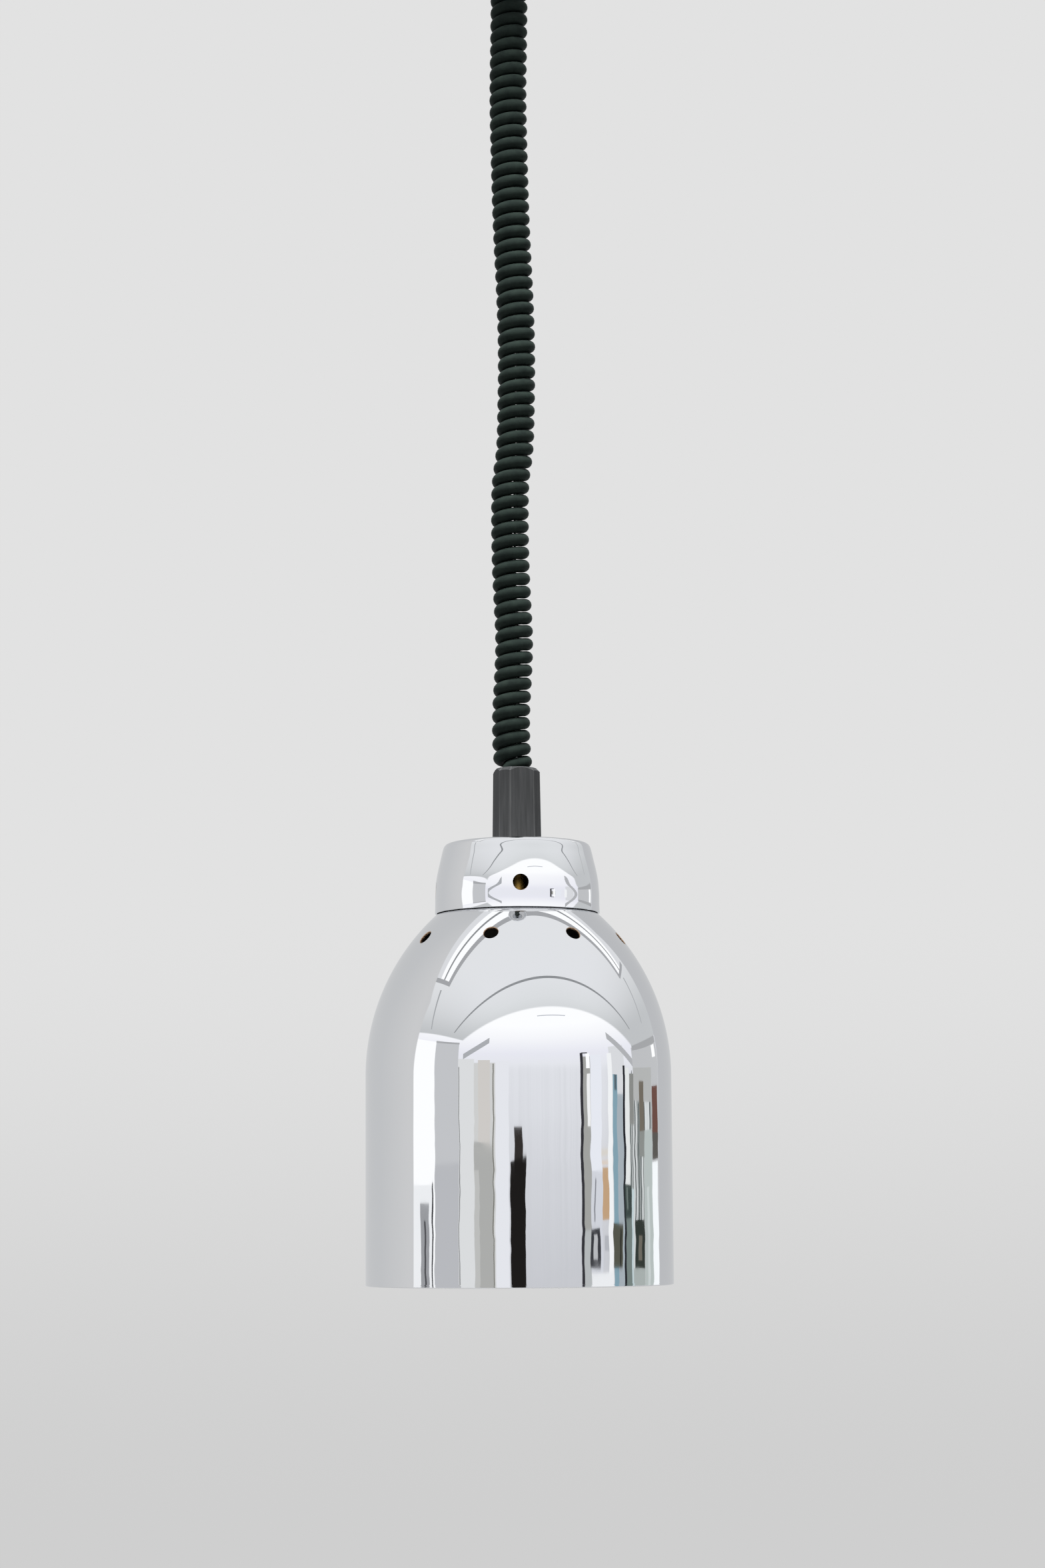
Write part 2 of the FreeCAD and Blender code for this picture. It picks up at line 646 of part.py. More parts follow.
def ceiling_plate():
    half = size.slot_length / 2 - size.slot_width / 2
    reach = cup_inside - size.tab_clear
    tab_out = root(reach * reach - size.tab_width * size.tab_width / 4)
    tab_in = tab_out - size.plate_wall
    under = -size.plate_wall
    disc = cylinder("plate_disc", plate_radius, size.plate_wall, z=under)
    strap = padded("plate_strap", "XZ_Plane", (
        corner(-tab_out, -size.tab_drop), corner(-tab_in, -size.tab_drop),
        corner(-tab_in, under), corner(tab_in, under),
        corner(tab_in, -size.tab_drop), corner(tab_out, -size.tab_drop),
        corner(tab_out, 0, soft=size.plate_wall), corner(-tab_out, 0, soft=size.plate_wall)),
        size.tab_width)
    tools = [
        drill("plate_supply_hole", size.supply_hole, under, 0, y=size.supply_back),
        cylinder("plate_screw_holes", size.cup_screw + size.screw_clear, 2 * (tab_out + PAST),
                 x=-tab_out - PAST, z=-size.cup_screw_drop, axis=(0, 1, 0), angle=90),
    ]
    for side in (-1, 1):
        middle = (plate_radius - size.slot_inset) * side
        tools.append(box(f"slot_{side + 1}", size.slot_width, 2 * half, size.plate_wall + 2 * PAST,
                         x=-size.slot_width / 2, y=middle - half, z=under - PAST))
        for end in (-1, 1):
            tools.append(drill(f"slot_end_{side + 1}_{end + 1}", size.slot_width / 2, under, 0,
                               y=middle + half * end))
        tools.append(drill(f"plate_rivet_hole_{side + 1}", size.rivet_radius + size.screw_clear,
                           under, 0, x=axle_across, y=rivet_middle + size.rivet_spacing * (side / 2)))
    return cut("ceiling_plate", fuse("plate_sheet", [disc, strap]), tools)


def ceiling_cup():
    opening = gland_shank_radius + size.thread_clear
    inside = cup_floor + size.cup_wall
    spun = turned("cup_spinning", (
        corner(size.cup_radius, -size.cup_shadow), corner(cup_inside, -size.cup_shadow),
        corner(cup_inside, inside, soft=size.cup_corner - size.cup_wall),
        corner(opening, inside), corner(opening, cup_floor),
        corner(size.cup_radius, cup_floor, soft=size.cup_corner)))
    reach = size.cup_radius + PAST
    holes = cylinder("cup_screw_holes", size.cup_screw + size.screw_clear, 2 * reach,
                     x=-reach, z=-size.cup_screw_drop, axis=(0, 1, 0), angle=90)
    return cut("ceiling_cup", spun, [holes])


def round_head_screw(name, shank, length, head, head_depth):
    # Seat at z = 0, head above it and shank below.
    return turned(name, (
        corner(0, -length), corner(shank, -length), corner(shank, 0), corner(head, 0),
        corner(head, head_depth, soft=head_depth * HEAD_ROUND), corner(0, head_depth)))


def cup_screws():
    reach = size.cup_radius + size.seat_clear
    length = size.cup_wall + 2 * size.tab_clear + 2 * size.plate_wall
    screw = round_head_screw("cup_screw_form", size.cup_screw, length, size.cup_screw_head,
                             size.cup_screw_head_depth)
    spots = [(reach, 0, -size.cup_screw_drop), (-reach, 0, -size.cup_screw_drop)]
    return spread("cup_screws", screw, spots, axis=(0, 1, 0), turns=(90, -90))


def cord_gland():
    bore = size.guide_radius + size.seat_clear
    socket_top = gland_end + socket_depth
    shank_top = cup_floor + size.gland_shank
    body = turned("gland_form", (
        corner(bore, socket_top), corner(socket_radius, socket_top),
        corner(socket_radius, gland_end), corner(size.gland_tip, gland_end),
        corner(size.gland_radius, cup_floor), corner(gland_shank_radius, cup_floor),
        corner(gland_shank_radius, shank_top), corner(bore, shank_top)))
    hole = drill("gland_lead_hole", lead_hole, socket_top, shank_top,
                 x=gland_tail[0], y=gland_tail[1])
    return cut("cord_gland", body, [hole])


def hex_nut(name, width, depth, bore, z):
    prism = doc.addObject("Part::Prism", name + "_blank")
    prism.Polygon = 6
    bind(prism, "Circumradius", width / 2)
    bind(prism, "Height", depth)
    nut = cut(name, prism, [drill(name + "_bore", bore, 0, depth)])
    return place(nut, z=z)


def gland_nut():
    return hex_nut("gland_nut", size.gland_nut_width, size.gland_nut_depth,
                   gland_shank_radius + size.thread_clear, cup_floor + size.cup_wall)


def rope_guide():
    seat = cup_floor + size.gland_shank
    return turned("rope_guide", (
        corner(rope_bore, gland_end + socket_depth), corner(size.guide_radius, gland_end + socket_depth),
        corner(size.guide_radius, seat), corner(size.guide_flange, seat),
        corner(size.guide_flange, seat + size.guide_flange_depth),
        corner(rope_bore, seat + size.guide_flange_depth)))


def reel_frame():
    top = -size.plate_wall
    low = -size.axle_drop - size.frame_reach
    bend = size.frame_bend
    inner = size.frame_bend - size.frame_wall
    body = padded("frame_form", "YZ_Plane", (
        corner(cheek_near - size.frame_wall, low), corner(cheek_near, low),
        corner(cheek_near, top - size.frame_wall, soft=inner),
        corner(cheek_far, top - size.frame_wall, soft=inner), corner(cheek_far, low),
        corner(cheek_far + size.frame_wall, low), corner(cheek_far + size.frame_wall, top, soft=bend),
        corner(cheek_near - size.frame_wall, top, soft=bend)), size.frame_width, x=axle_across)
    doc.recompute()
    ends = []
    for number, edge in enumerate(body.Shape.Edges, start=1):
        middle = edge.CenterOfMass
        across = abs(abs(middle.x - axle_across.value) - size.frame_width.value / 2)
        if across < TOUCH and abs(middle.z - low.value) < TOUCH:
            ends.append(f"Edge{number}")
    channel = body.Tip
    rounding = body.newObject("PartDesign::Fillet", "frame_ends")
    rounding.Base = (channel, ends)
    bind(rounding, "Radius", size.frame_round)
    body.Tip = rounding
    past = size.frame_wall + PAST
    tools = [cylinder("frame_axle_hole", size.axle_radius + size.axle_fit,
                      cheek_far - cheek_near + 2 * past, y=cheek_near - past, **reel_place)]
    for side in (-1, 1):
        tools.append(drill(f"frame_rivet_hole_{side + 1}", size.rivet_radius + size.screw_clear,
                           top - size.frame_wall, top, x=axle_across,
                           y=rivet_middle + size.rivet_spacing * (side / 2)))
    return cut("reel_frame", body, tools)


def frame_rivets():
    seat = -size.plate_wall - size.frame_wall
    rivet = turned("rivet_form", (
        corner(0, 0), corner(size.rivet_radius, 0), corner(size.rivet_radius, seat),
        corner(size.rivet_head, seat),
        corner(size.rivet_head, seat - size.rivet_head_depth, soft=size.rivet_head_depth * HEAD_ROUND),
        corner(0, seat - size.rivet_head_depth)))
    spots = [(axle_across, rivet_middle + size.rivet_spacing * (side / 2), 0) for side in (-1, 1)]
    return spread("frame_rivets", rivet, spots)


def clip_seats():
    near = cheek_near - size.frame_wall - size.clip_wall - size.clip_clear
    far = cheek_far + size.frame_wall + size.clip_clear
    return near, far


def reel_axle():
    near = cheek_near - size.frame_wall - size.axle_overhang
    far = cheek_far + size.frame_wall + size.axle_overhang
    groove = size.axle_radius - size.clip_groove
    outline = [corner(0, near), corner(size.axle_radius, near)]
    for seat in clip_seats():
        low = seat - size.clip_clear / 2
        high = seat + size.clip_wall + size.clip_clear / 2
        outline += [corner(size.axle_radius, low), corner(groove, low),
                    corner(groove, high), corner(size.axle_radius, high)]
    outline += [corner(size.axle_radius, far), corner(0, far)]
    return turned("reel_axle", outline, **reel_place)


def axle_clips():
    groove = size.axle_radius - size.clip_groove
    clips = []
    for i, seat in enumerate(clip_seats()):
        ring = turned(f"clip_ring_{i}", (
            corner(groove + size.clip_clear / 2, seat), corner(size.clip_radius, seat),
            corner(size.clip_radius, seat + size.clip_wall),
            corner(groove + size.clip_clear / 2, seat + size.clip_wall)))
        mouth = box(f"clip_mouth_{i}", size.clip_radius + PAST, size.clip_mouth, size.clip_wall + 2 * PAST,
                    y=-size.clip_mouth / 2, z=seat - PAST)
        clips.append(place(cut(f"clip_{i}", ring, [mouth]), **reel_place))
    return group("axle_clips", clips)


def cover_screw_spots():
    middle = (cavity_radius + size.drum_radius) / 2
    turns = [math.radians(turn) for turn in (90, 210, 330)]
    return [(middle * math.cos(turn), middle * math.sin(turn)) for turn in turns]


def reel_drum():
    bore = size.axle_radius + size.axle_fit
    web = drum_back + drum_length - size.drum_web
    far = drum_back + drum_length
    wall = size.drum_flange_wall
    spool = turned("drum_spool", (
        corner(bore, web), corner(cavity_radius, web), corner(cavity_radius, drum_back),
        corner(size.drum_flange, drum_back), corner(size.drum_flange, drum_back + wall),
        corner(size.drum_radius, drum_back + wall), corner(size.drum_radius, far - wall),
        corner(size.drum_flange, far - wall), corner(size.drum_flange, far), corner(bore, far)))
    tools = [cylinder(f"drum_screw_hole_{i}", size.cover_screw + size.screw_clear,
                      size.cover_screw_length + PAST, x=x, y=y, z=drum_back - PAST)
             for i, (x, y) in enumerate(cover_screw_spots())]
    return place(cut("reel_drum", spool, tools), **reel_place)


def spring_cover():
    bore = size.axle_radius + size.axle_fit
    near = drum_back - size.cover_wall
    rim = size.drum_radius + size.cover_lap
    disc = turned("cover_disc", (
        corner(bore, near), corner(rim, near), corner(rim, drum_back), corner(bore, drum_back)))
    tools = [drill(f"cover_hole_{i}", size.cover_screw + size.screw_clear, near, drum_back, x=x, y=y)
             for i, (x, y) in enumerate(cover_screw_spots())]
    return place(cut("spring_cover", disc, tools), **reel_place)


def cover_screws():
    screw = round_head_screw("cover_screw_form", size.cover_screw, size.cover_screw_length,
                             size.cover_screw_head, size.cover_screw_head_depth)
    spots = [(x, y, drum_back - size.cover_wall) for x, y in cover_screw_spots()]
    screws = spread("cover_screws", screw, spots, axis=(1, 0, 0), turns=(HALF_TURN,) * len(spots))
    return place(screws, **reel_place)


def balance_spring():
    """Flat strip wound on half circles whose centres alternate, so that each turn grows evenly."""
    half_wall = size.spring_wall.value / 2
    inner = (size.axle_radius + size.spring_seat).value + half_wall
    outer = (cavity_radius - size.spring_clear).value - half_wall
    halves = int((outer - inner) / (size.spring_pitch.value / 2))
    step = (outer - inner) / halves
    low = (drum_back + size.spring_clear).value
    width = (drum_length - size.drum_web - 2 * size.spring_clear).value
    rims = ([], [])
    for i in range(halves):
        upper = i % 2 == 0
        centre = Vec(0 if upper else step, 0, low)
        reach = inner + i * step
        ahead = 1 if upper else -1
        for rim, offset in zip(rims, (-half_wall, half_wall)):
            radius = reach + offset
            out = Vec(radius * ahead, 0, 0)
            over = Vec(0, radius * ahead, 0)
            rim.append(Part.Arc(centre + out, centre + over, centre - out).toShape())
    ends = [Part.LineSegment(rims[0][k].Vertexes[v].Point, rims[1][k].Vertexes[v].Point).toShape()
            for k, v in ((0, 0), (-1, 1))]
    strip = Part.Face(Part.Wire(Part.__sortEdges__(rims[0] + rims[1] + ends)))
    return place(feature("balance_spring", strip.extrude(Vec(0, 0, width))), **reel_place)


def rope_winding():
    """Rope on the drum: half-turn biarcs, with a straight end where it hands over to the hanging rope."""
    radius = winding_radius.value
    pitch = wrap_pitch.value
    halves = int(size.wrap_half_turns.value)
    lean = pitch / (2 * math.pi * radius)
    straight = size.rope_diameter.value
    nodes = []
    for i in range(halves + 1):
        turn = math.radians(-HALF_TURN * i)
        free = i in (0, halves)
        spot = Vec(radius * math.cos(turn), radius * math.sin(turn), -pitch * i / 2)
        heading = Vec(math.sin(turn), -math.cos(turn), 0 if free else -lean)
        nodes.append((spot, unit(heading)))
    start = nodes[0][0] - nodes[0][1] * straight
    end = nodes[-1][0] + nodes[-1][1] * straight
    edges = [Part.LineSegment(start, nodes[0][0]).toShape()]
    edges += through(nodes)
    edges.append(Part.LineSegment(nodes[-1][0], end).toShape())
    path, solid = tube(edges, rope_radius.value, start, nodes[0][1])
    report_tube("rope_winding", path, solid, rope_radius.value, 2 * math.pi * radius)
    return place(feature("rope_winding", solid), **reel_place)


def coil_axis():
    """Smooth sway of the coil axis against its height, as two functions of the height."""
    base = grip_top.value
    stretch = (size.coil_drop - size.coil_lead).value / COIL_ROUTE[-1][2]
    poles = [Vec(x, y, base + up * stretch) for x, y, up in COIL_ROUTE]
    knots = list(range(len(poles) - 1))
    line = Part.BSplineCurve()
    line.buildFromPolesMultsKnots(poles, [3] + [1] * (len(knots) - 2) + [3], knots, False, 2)
    points_per_pole = 40
    track = line.discretize(points_per_pole * len(poles))

    def at(level):
        level = max(track[0].z, min(track[-1].z, level))
        upper = next(i for i in range(1, len(track)) if track[i].z >= level)
        low, high = track[upper - 1], track[upper]
        share = (level - low.z) / (high.z - low.z)
        return low + (high - low) * share

    return at


def curly_cord():
    axis_at = coil_axis()
    bottom = (grip_top + size.coil_lead).value
    quarters = int(coil_turns.value) * QUARTERS
    rise = coil_pitch.value / QUARTERS
    radius = coil_radius.value

    def spot(share):
        turn = 2 * math.pi * share / QUARTERS - math.pi / 2
        level = bottom + rise * share
        centre = axis_at(level)
        return Vec(centre.x + radius * math.cos(turn), centre.y + radius * math.sin(turn), level)

    near = 1e-3
    nodes = [(spot(i), unit(spot(i + near) - spot(i - near))) for i in range(1, quarters)]
    flat = coil_round.value / coil_turn.value
    slope = coil_pitch.value / coil_turn.value
    end_heading = Vec(flat, 0, slope)
    nodes = [(spot(0), end_heading)] + nodes + [(spot(quarters), end_heading)]
    upright = Vec(0, 0, 1)
    straight = upright * size.cord_diameter.value
    drop = Vec(tail_across.value, 0, tail_rise.value)
    low_bend = nodes[0][0] - drop
    high_bend = nodes[-1][0] + drop
    edges = [Part.LineSegment(low_bend - straight, low_bend).toShape(),
             arc_edge(low_bend, upright, nodes[0][0])]
    edges += through(nodes)
    edges += [arc_edge(high_bend, -upright, nodes[-1][0]),
              Part.LineSegment(high_bend, high_bend + straight).toShape()]
    path, solid = tube(edges, cord_radius.value, low_bend - straight, upright)
    report_tube("curly_cord", path, solid, cord_radius.value, coil_turn.value)
    print("curly_cord: tails at", low_bend - straight, high_bend + straight)
    return feature("curly_cord", solid)


def support_rope():
    top = -size.axle_drop - size.rope_diameter
    return cylinder("support_rope", rope_radius, top - ferrule_low, z=ferrule_low)


def way_offsets():
    return [size.way_spacing * place_in_row for place_in_row in (-1, 0, 1)]


def terminal_block():
    top = -size.plate_wall
    body = padded("block_form", "XZ_Plane", (
        corner(size.block_inset, top - size.block_height, soft=size.block_edge),
        corner(size.block_inset + size.block_depth, top - size.block_height, soft=size.block_edge),
        corner(size.block_inset + size.block_depth, top), corner(size.block_inset, top)), size.block_width)
    tools = []
    level = top - size.block_height / 2
    for i, y in enumerate(way_offsets()):
        tools.append(cylinder(f"way_{i}", size.way_bore, size.block_depth + 2 * PAST,
                              x=size.block_inset - PAST, y=y, z=level, axis=(0, 1, 0), angle=90))
        tools.append(cylinder(f"clamp_hole_{i}", size.clamp_screw + size.clamp_clear,
                              size.block_height / 2 + PAST, y=y, z=top - size.block_height - PAST,
                              x=size.block_inset + size.block_depth / 2))
    return cut("terminal_block", body, tools)


def terminal_screws():
    low = -size.plate_wall - size.block_height
    screw = cylinder("clamp_screw_form", size.clamp_screw, size.clamp_screw_length)
    spots = [(size.block_inset + size.block_depth / 2, y, low) for y in way_offsets()]
    return spread("terminal_screws", screw, spots)


def lead_set(name, routes, bend):
    solids = []
    for points in routes:
        edges = rounded_path(points, bend)
        path, solid = tube(edges, size.lead_radius.value, points[0], unit(points[1] - points[0]))
        report_tube(name, path, solid, size.lead_radius.value)
        solids.append(solid)
    return feature(name, Part.makeCompound(solids))


def ceiling_leads():
    start = (gland_end + socket_depth).value
    level = -(size.plate_wall + size.block_height / 2).value
    face = size.block_inset.value
    run_in = 4 * size.way_bore.value
    reach_in = size.block_depth.value / 3
    routes = []
    for row, y in zip((-1, 0, 1), way_offsets()):
        x0 = gland_tail[0].value
        y0 = gland_tail[1].value + row * size.lead_spacing.value
        routes.append((Vec(x0, y0, start), Vec(x0, y0, level), Vec(face - run_in, y.value, level),
                       Vec(face + reach_in, y.value, level)))
    return lead_set("ceiling_leads", routes, 2 * size.way_bore.value)


def facet_sketch(body, name, radius, level):
    """Outline of wide facets with narrow ones between them, its corners softly rounded."""
    faces = int(size.grip_faces.value)
    sketch = sketch_on(body, "XY_Plane", name)
    bind(sketch, "AttachmentOffset.Base.z", level)
    outline = []
    for i in range(faces):
        start = size.grip_turn.value + 360 * i / faces
        for turn in (math.radians(start), math.radians(start + size.grip_wide.value)):
            outline.append(corner(radius * math.cos(turn), radius * math.sin(turn), soft=size.grip_edge))
    draw(sketch, outline)
    return sketch


def grip():
    body = new_body("grip_form")
    loft = body.newObject("PartDesign::AdditiveLoft", "grip_loft")
    loft.Profile = facet_sketch(body, "grip_foot", size.grip_base, 0)
    loft.Sections = [facet_sketch(body, "grip_head", size.grip_top, size.grip_height)]
    loft.Ruled = True
    bevel = sketch_on(body, "XZ_Plane", "grip_bevel_outline")
    lip_start = size.grip_top * math.cos(math.radians(size.grip_wide.value / 2)) - size.grip_lip
    past = size.grip_top + size.grip_lip
    draw(bevel, (corner(lip_start, size.grip_height), corner(past, size.grip_height + lip_start - past),
                 corner(past, size.grip_height)))
    groove = body.newObject("PartDesign::Groove", "grip_bevel")
    groove.Profile = bevel
    groove.ReferenceAxis = (bevel, ["V_Axis"])
    groove.Angle = 360
    body.Tip = groove
    floor = size.grip_height - socket_depth
    chamber_top = floor - size.grip_floor
    tools = [
        cylinder("grip_socket", socket_radius, socket_depth + PAST, z=floor),
        cylinder("grip_chamber_cut", size.grip_chamber, chamber_top + PAST, z=-PAST),
        drill("grip_rope_hole", rope_bore, chamber_top, floor),
        drill("grip_lead_hole", lead_hole, chamber_top, floor, x=grip_tail[0], y=grip_tail[1]),
    ]
    return place(cut("grip", body, tools), z=cap_top)


def grip_bush():
    outer = size.grip_chamber - size.bush_clear
    return turned("grip_bush", (
        corner(nipple_hole, cap_top), corner(outer, cap_top),
        corner(outer, bush_top), corner(nipple_hole, bush_top)))


def rope_ferrule():
    top = cap_top + chamber_height
    bore = rope_radius + size.seat_clear
    return turned("rope_ferrule", (
        corner(bore, ferrule_low), corner(size.ferrule_radius, ferrule_low),
        corner(size.ferrule_radius, top), corner(bore, top)))


def hanger_nipple():
    low = hood_top - size.hood_boss_depth
    return turned("hanger_nipple", (
        corner(size.nipple_bore, low), corner(size.nipple_radius, low),
        corner(size.nipple_radius, bush_top), corner(size.nipple_bore, bush_top)))


def hanger_nut():
    return hex_nut("hanger_nut", size.nut_width, size.nut_depth, nipple_hole, hood_top)


def lock_washer():
    return turned("lock_washer", (
        corner(nipple_hole, nut_top), corner(size.washer_radius, nut_top),
        corner(size.washer_radius, washer_top), corner(nipple_hole, washer_top)))


def cap():
    lean = (size.cap_radius - size.cap_crown) / (size.cap_height - size.cap_skirt)
    slant = root(lean * lean + 1)
    inner_top = size.cap_height - size.cap_wall
    inner_break = size.cap_skirt - size.cap_wall * (slant - 1) / lean
    inner_crown = size.cap_crown + size.cap_wall * lean - size.cap_wall * slant
    body = turned("cap", (
        corner(cap_bore, 0), corner(size.cap_radius, 0),
        corner(size.cap_radius, size.cap_skirt, soft=size.cap_break),
        corner(size.cap_crown, size.cap_height, soft=size.cap_edge),
        corner(nipple_hole, size.cap_height), corner(nipple_hole, inner_top),
        corner(inner_crown, inner_top, soft=size.cap_edge - size.cap_wall),
        corner(cap_bore, inner_break, soft=size.cap_break - size.cap_wall)),
        z=cap_rim, axis=(0, 0, 1), angle=size.cap_vent_turn)
    bind(body, "Placement.Rotation.Angle", size.cap_vent_turn)
    ring_of_holes(body, "cap_vent", size.cap_vent, 6 * size.cap_wall, size.cap_vents, sized(90),
                  x=cap_bore - 2 * size.cap_wall, z=size.cap_vent_rise)
    return body


def shade_bridge():
    foot = flange_edge - size.bridge_inset
    leg = dome_opening + size.bridge_inset
    wall = size.bridge_wall
    height = bridge_top - flange_level
    bend = size.bridge_bend
    inner = bend - wall
    body = padded("bridge_form", "XZ_Plane", (
        corner(-foot, 0), corner(-leg, 0, soft=bend), corner(-leg, height - wall, soft=inner),
        corner(leg, height - wall, soft=inner), corner(leg, 0, soft=bend), corner(foot, 0),
        corner(foot, wall), corner(leg + wall, wall, soft=inner), corner(leg + wall, height, soft=bend),
        corner(-leg - wall, height, soft=bend), corner(-leg - wall, wall, soft=inner), corner(-foot, wall)),
        size.bridge_width)
    tools = [drill("bridge_nipple_hole", nipple_hole, height - wall, height)]
    for i, x in enumerate(shade_screw_offsets()):
        tools.append(drill(f"bridge_screw_hole_{i}", size.shade_screw + size.screw_clear, 0, wall, x=x))
    return place(cut("shade_bridge", body, tools), z=flange_level)


def shade_screw_offsets():
    leg = dome_opening + size.bridge_inset + size.bridge_wall
    middle = (leg + flange_edge - size.bridge_inset) / 2 + size.bridge_bend / 4
    return middle, -middle


def shade_screws():
    low = flange_level - size.dome_wall
    length = size.dome_wall + size.bridge_wall + size.shade_nut_depth
    screw = round_head_screw("shade_screw_form", size.shade_screw, length, size.shade_screw_head,
                             size.shade_screw_head_depth)
    spots = [(x, 0, low) for x in shade_screw_offsets()]
    return spread("shade_screws", screw, spots, axis=(1, 0, 0), turns=(HALF_TURN, HALF_TURN))


def shade_nuts():
    nut = hex_nut("shade_nut_form", size.shade_nut_width, size.shade_nut_depth,
                  size.shade_screw + size.screw_clear / 2, 0)
    spots = [(x, 0, flange_level + size.bridge_wall) for x in shade_screw_offsets()]
    return spread("shade_nuts", nut, spots)


def dome_shade():
    wall = size.dome_wall
    inner_radius = size.dome_curve - wall
    under = flange_top - wall
    rise = under - size.dome_skirt
    inner_edge = arc_centre + root(inner_radius * inner_radius - rise * rise)
    body = turned("dome_form", (
        corner(size.dome_radius - wall, 0), corner(size.dome_radius, 0),
        corner(size.dome_radius, size.dome_skirt, arc=size.dome_curve),
        corner(flange_edge, flange_top), corner(dome_opening, flange_top),
        corner(dome_opening, under), corner(inner_edge, under, arc=-inner_radius),
        corner(size.dome_radius - wall, size.dome_skirt)),
        axis=(0, 0, 1), angle=size.dome_vent_turn)
    bind(body, "Placement.Rotation.Angle", size.dome_vent_turn)
    ring_rise = shoulder(size.dome_vent_ring) - size.dome_skirt
    out = size.dome_vent_ring - arc_centre
    back = 3 * wall / size.dome_curve
    ring_of_holes(body, "dome_vent", size.dome_vent, 6 * wall, size.dome_vents, degrees(out, ring_rise),
                  x=size.dome_vent_ring - out * back, z=size.dome_skirt + ring_rise - ring_rise * back)
    tools = [drill(f"dome_screw_hole_{i}", size.shade_screw + size.screw_clear, under, flange_top, x=x)
             for i, x in enumerate(shade_screw_offsets())]
    return place(cut("dome_shade", body, tools), z=dome_rim)


def holder_hood():
    inner = size.hood_radius - size.hood_wall
    under = hood_top - size.hood_wall
    boss_end = hood_top - size.hood_boss_depth
    body = turned("hood_form", (
        corner(nipple_hole, boss_end), corner(size.hood_boss, boss_end), corner(size.hood_boss, under),
        corner(inner, under, soft=size.hood_edge - size.hood_wall), corner(inner, hood_rim),
        corner(size.hood_radius, hood_rim), corner(size.hood_radius, hood_top, soft=size.hood_edge),
        corner(nipple_hole, hood_top)))
    reach = size.hood_radius + PAST
    holes = cylinder("hood_screw_holes", size.hood_screw + size.screw_clear, 2 * reach,
                     y=reach, z=hood_rim + size.hood_screw_rise, axis=(1, 0, 0), angle=90)
    return cut("holder_hood", body, [holes])


def lampholder():
    spigot = size.hood_radius - size.hood_wall - size.holder_clear
    cavity = size.shell_radius + size.shell_clear
    stem = size.post_radius + size.post_clear
    body = turned("holder_form", (
        corner(cavity, holder_rim), corner(size.holder_radius, holder_rim, soft=size.holder_edge),
        corner(size.holder_radius, hood_rim), corner(spigot, hood_rim), corner(spigot, spigot_top),
        corner(stem, spigot_top), corner(stem, holder_floor), corner(cavity, holder_floor)))
    depth = size.hood_screw_length + size.holder_clear
    tools = []
    for side in (1, -1):
        tools.append(cylinder(f"post_hole_{side + 1}", stem, size.post_depth + PAST,
                              y=size.post_offset * side, z=spigot_top - size.post_depth))
        tools.append(cylinder(f"holder_screw_hole_{side + 1}", size.hood_screw + size.screw_clear,
                              depth + PAST, y=(spigot - depth) * side, z=hood_rim + size.hood_screw_rise,
                              axis=(1, 0, 0), angle=-90 * side))
    return cut("lampholder", body, tools)


def holder_shell():
    inner = size.shell_radius - size.shell_wall
    low = holder_floor - size.shell_height
    under = holder_floor - size.shell_wall
    return turned("holder_shell", (
        corner(inner, low), corner(size.shell_radius, low), corner(size.shell_radius, holder_floor),
        corner(size.shell_opening, holder_floor), corner(size.shell_opening, under),
        corner(inner, under)))


def centre_contact():
    low = holder_floor - size.contact_depth
    return turned("centre_contact", (
        corner(0, low), corner(size.contact_radius, low), corner(size.contact_radius, holder_floor),
        corner(size.post_radius, holder_floor), corner(size.post_radius, spigot_top),
        corner(size.post_head, spigot_top), corner(size.post_head, spigot_top + size.post_head_depth),
        corner(0, spigot_top + size.post_head_depth)))


def holder_posts():
    post = round_head_screw("post_form", size.post_radius, size.post_depth, size.post_head,
                            size.post_head_depth)
    spots = [(0, size.post_offset, spigot_top), (0, -size.post_offset, spigot_top)]
    return spread("holder_posts", post, spots)


def hood_screws():
    screw = round_head_screw("hood_screw_form", size.hood_screw, size.hood_screw_length + size.hood_wall,
                             size.hood_screw_head, size.hood_screw_head_depth)
    reach = size.hood_radius + size.seat_clear
    level = hood_rim + size.hood_screw_rise
    spots = [(0, reach, level), (0, -reach, level)]
    return spread("hood_screws", screw, spots, axis=(1, 0, 0), turns=(-90, 90))


def lamp_leads():
    start = (grip_top - socket_depth).value
    lean = 3 * size.lead_radius.value
    level = (hood_top - size.hood_boss_depth).value - lean
    head = (spigot_top + size.post_head_depth).value
    x0 = grip_tail[0].value
    routes = []
    for row in (-1, 0, 1):
        y0 = grip_tail[1].value + row * size.lead_spacing.value
        y1 = row * size.lead_spacing.value
        y2 = row * size.post_offset.value
        points = [Vec(x0, y0, start), Vec(x0, y0, ferrule_low.value),
                  Vec(0, y1, bush_top.value + lean)]
        if row:
            points += [Vec(0, y1, level), Vec(0, y2, level)]
        routes.append(points + [Vec(0, y2, head)])
    return lead_set("lamp_leads", routes, 1.5 * size.lead_radius.value)


